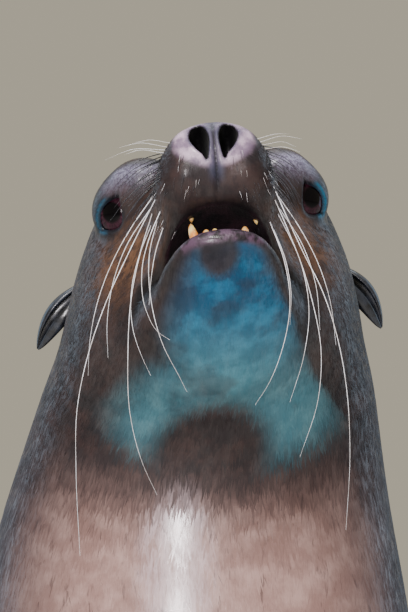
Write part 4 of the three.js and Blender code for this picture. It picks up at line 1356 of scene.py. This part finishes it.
def tuft_sizes(marks, at):
    """Length of a tuft in millimetres, and how densely tufts are set, at points of the skin."""
    head = 1 - smoothstep(at, 110, 420)
    length = 14 - 7.5 * head - 3.0 * (1 - smoothstep(at, 20, 110))
    length *= 1 - 0.55 * marks["flipper"]
    bare = np.maximum.reduce([marks[key] for key in ("nose_pad", "nostril", "mouth", "lip", "eye_rim")])
    keep = (1 - smoothstep(bare, 0.05, 0.4)) * (1 - smoothstep(marks["flipper"], 0.4, 0.9))
    return np.maximum(length, 2.8), keep / np.maximum(length, 2.8) ** 1.35


def tuft_pieces(skin, straight, normals, count, pieces, material):
    """Thin flat tufts all over the furry skin, lying the way the hairs lie, in joined pieces."""
    mesh = skin.data
    mesh.calc_loop_triangles()
    corners = np.empty(len(mesh.loop_triangles) * 3, np.int32)
    mesh.loop_triangles.foreach_get("vertices", corners)
    loops = np.empty_like(corners)
    mesh.loop_triangles.foreach_get("loops", loops)
    corners, loops = corners.reshape(-1, 3), loops.reshape(-1, 3)
    spread = np.empty(len(mesh.loops) * 2, np.float32)
    mesh.uv_layers["OFBake"].data.foreach_get("uv", spread)
    spread = spread.reshape(-1, 2)
    a, b, c = (straight[corners[:, k]] for k in range(3))
    area = np.linalg.norm(np.cross(b - a, c - a), axis=1) / 2
    middle = (a + b + c) / 3
    facing = normals[corners].sum(1)
    facing /= np.linalg.norm(facing, axis=1, keepdims=True)
    at, _flow, _way, marks = coat_at(middle, facing)
    _length, dense = tuft_sizes(marks, at)
    rng = np.random.default_rng(7)
    chance = area * dense * (middle[:, 2] > TUFTS_OVER_FLOOR)
    pick = np.sort(rng.choice(len(corners), count, p=chance / chance.sum()))
    share = rng.random((count, 2))
    share = np.where(share.sum(1, keepdims=True) > 1, 1 - share, share)
    share = np.column_stack([1 - share.sum(1), share])
    root = (straight[corners[pick]] * share[..., None]).sum(1)
    out = (normals[corners[pick]] * share[..., None]).sum(1)
    out /= np.linalg.norm(out, axis=1, keepdims=True)
    spot = (spread[loops[pick]] * share[..., None]).sum(1)
    at, flow, way, marks = coat_at(root, out)
    length, _dense = tuft_sizes(marks, at)
    length = length * rng.uniform(0.7, 1.25, count)
    way += rng.normal(0, 0.16, (count, 3))
    way -= out * (way * out).sum(1, keepdims=True)
    way /= np.maximum(np.linalg.norm(way, axis=1, keepdims=True), 1e-6)
    aside = np.cross(out, way)
    wide = length * rng.uniform(0.06, 0.11, count)
    lift = 0.1 + length * rng.uniform(0.004, 0.013, count)
    tree = BVHTree.FromPolygons(straight.tolist(), corners.tolist())
    tip = root + way * length[:, None]
    on_skin = np.array([tree.find_nearest(place)[0][:] for place in tip.tolist()])
    tip = on_skin + out * (lift * 1.15)[:, None]
    aside, deep = aside * wide[:, None], out * 0.35
    ridge = root + (tip - root) * 0.42 + out * lift[:, None]
    points = np.stack([root - aside - deep, root + aside - deep, ridge, tip], 1)
    points[..., 2] = np.maximum(points[..., 2], TIPS_OVER_FLOOR)
    faces = np.array([[0, 1, 2], [1, 3, 2], [3, 0, 2], [0, 3, 1]])
    out_set = set_down(root + out) - set_down(root)
    out_set /= np.linalg.norm(out_set, axis=1, keepdims=True)
    offsets = 0.0015 * np.array([[-1, -1], [1, -1], [0, 0], [0, 1]])
    for index in range(pieces):
        mine = slice(index * count // pieces, (index + 1) * count // pieces)
        number = mine.stop - mine.start
        flat = points[mine].reshape(-1, 3)
        triangles = (faces[None] + 4 * np.arange(number)[:, None, None]).reshape(-1, 3)
        piece = mesh_piece(f"tufts_{index + 1}", set_down(flat), facing_out(flat, triangles))
        soft = 0.97 * np.repeat(out_set[mine], 4, 0) + 0.03 * read_normals(piece.data)
        soft /= np.linalg.norm(soft, axis=1, keepdims=True)
        piece.data.normals_split_custom_set_from_vertices(soft.tolist())
        layer = piece.data.uv_layers.new(name="OFBake")
        vertex = np.empty(len(piece.data.loops), np.int32)
        piece.data.loops.foreach_get("vertex_index", vertex)
        patch = (spot[mine][:, None] + offsets).reshape(-1, 2)
        layer.data.foreach_set("uv", patch[vertex].astype(np.float32).ravel())
        shift = points[mine] - root[mine][:, None]
        along = (shift * way[mine][:, None]).sum(-1)
        flat_flow = np.repeat(flow[mine], 4, 0)
        flat_flow[:, 0] += along.ravel()
        put_attribute(piece.data, "flow", flat_flow)
        for name, values in marks.items():
            put_attribute(piece.data, name, np.repeat(values[mine], 4))
        piece.data.materials.append(material)
        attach(piece, "root")


# ---------------------------------------------------------------- build, set and light the scene


def area_light(name, place, target, size, energy, colour):
    light = bpy.data.lights.new(name, "AREA")
    light.shape = "RECTANGLE"
    light.size, light.size_y = size
    light.energy = energy
    light.color = colour
    lamp = bpy.data.objects.new(name, light)
    lamp.location = place
    lamp.rotation_euler = (Vector(target) - Vector(place)).to_track_quat("-Z", "Y").to_euler()
    bpy.context.scene.collection.objects.link(lamp)


def set_stage():
    size = 6.0
    corners = size * np.array([(-1, -1, 0), (1, -1, 0), (1, 1, 0), (-1, 1, 0)])
    floor = mesh_piece("floor", corners, np.array([[0, 1, 2, 3]]), smooth=False)
    floor.data.materials.append(plain_material("pale floor", srgb(186, 184, 178), srgb(196, 194, 188),
                                               3.0, 0.75))
    world = bpy.data.worlds.new("soft room")
    world.use_nodes = True
    world.node_tree.nodes["Background"].inputs[0].default_value = srgb(200, 192, 172)
    world.node_tree.nodes["Background"].inputs[1].default_value = 0.75
    bpy.context.scene.world = world
    target = (0.0, -0.35, 0.75)
    area_light("key", (-0.5, -2.6, 3.4), target, (0.8, 0.8), 150, (1.0, 0.97, 0.94))
    area_light("front", (-0.36, -2.7, 1.2), (0.0, -0.3, 0.66), (0.3, 0.9), 52, (1.0, 0.95, 0.97))
    area_light("cool left", (-2.2, 1.3, 1.3), target, (1.6, 2.4), 16, (0.45, 0.7, 1.0))
    area_light("cool right", (2.2, 1.3, 1.3), target, (1.6, 2.4), 16, (0.45, 0.7, 1.0))
    area_light("above", (0.0, 0.6, 3.2), target, (2.5, 2.0), 45, (0.8, 0.9, 1.0))


def set_camera():
    data = bpy.data.cameras.new("camera")
    data.lens = 362
    data.sensor_width = 36
    data.sensor_fit = "AUTO"
    data.clip_end = 20
    camera = bpy.data.objects.new("camera", data)
    camera.location = (0.0052, (-4300 + OFFSET[1]) / 1000, 0.8284)
    camera.rotation_euler = (math.radians(90), 0, 0)
    bpy.context.scene.collection.objects.link(camera)
    bpy.context.scene.camera = camera


COAT_GROUP = shader_group("coat looks", [
    ("Color", "NodeSocketColor"), ("Roughness", "NodeSocketFloat"), ("Wet", "NodeSocketFloat"),
    ("Relief", "NodeSocketFloat")], build_coat_group)
skin, straight, normals = skin_piece(coat_material("wet coat", COAT_GROUP, 0.0005))
eye_look = eye_material()
ear_look = plain_material("ear skin", srgb(13, 14, 20), srgb(36, 41, 52), 120, 0.34,
                          {"Coat Weight": 0.2})
tooth_look = plain_material("tooth", srgb(226, 198, 128), srgb(196, 122, 52), 170, 0.3,
                            {"Coat Weight": 0.5})
for side in (1, -1):
    eye_piece(side, eye_look)
    ear_piece(side, ear_look)
teeth_pieces(tooth_look)
claw_look = plain_material("claw", srgb(52, 44, 42), srgb(92, 80, 72), 400, 0.4)
for name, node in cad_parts.items():
    if name.startswith("claw"):
        node.data.materials.clear()
        node.data.materials.append(claw_look)
set_stage()
set_camera()
unwrap(skin)
tuft_look = coat_material("tufts of wet coat", COAT_GROUP, 0.00013)
tuft_pieces(skin, straight, normals, TUFT_COUNT, TUFT_PIECES, tuft_look)
skin_tree = BVHTree.FromPolygons(set_down(straight).tolist(),
                                 [face.vertices[:] for face in skin.data.polygons])
whisker_look = plain_material("pale whisker", srgb(240, 242, 250), srgb(206, 200, 200), 60, 0.3)
dark_hair_look = plain_material("dark hair", srgb(10, 11, 20), srgb(22, 22, 34), 60, 0.35)
face_hairs(skin_tree, whisker_look, dark_hair_look)
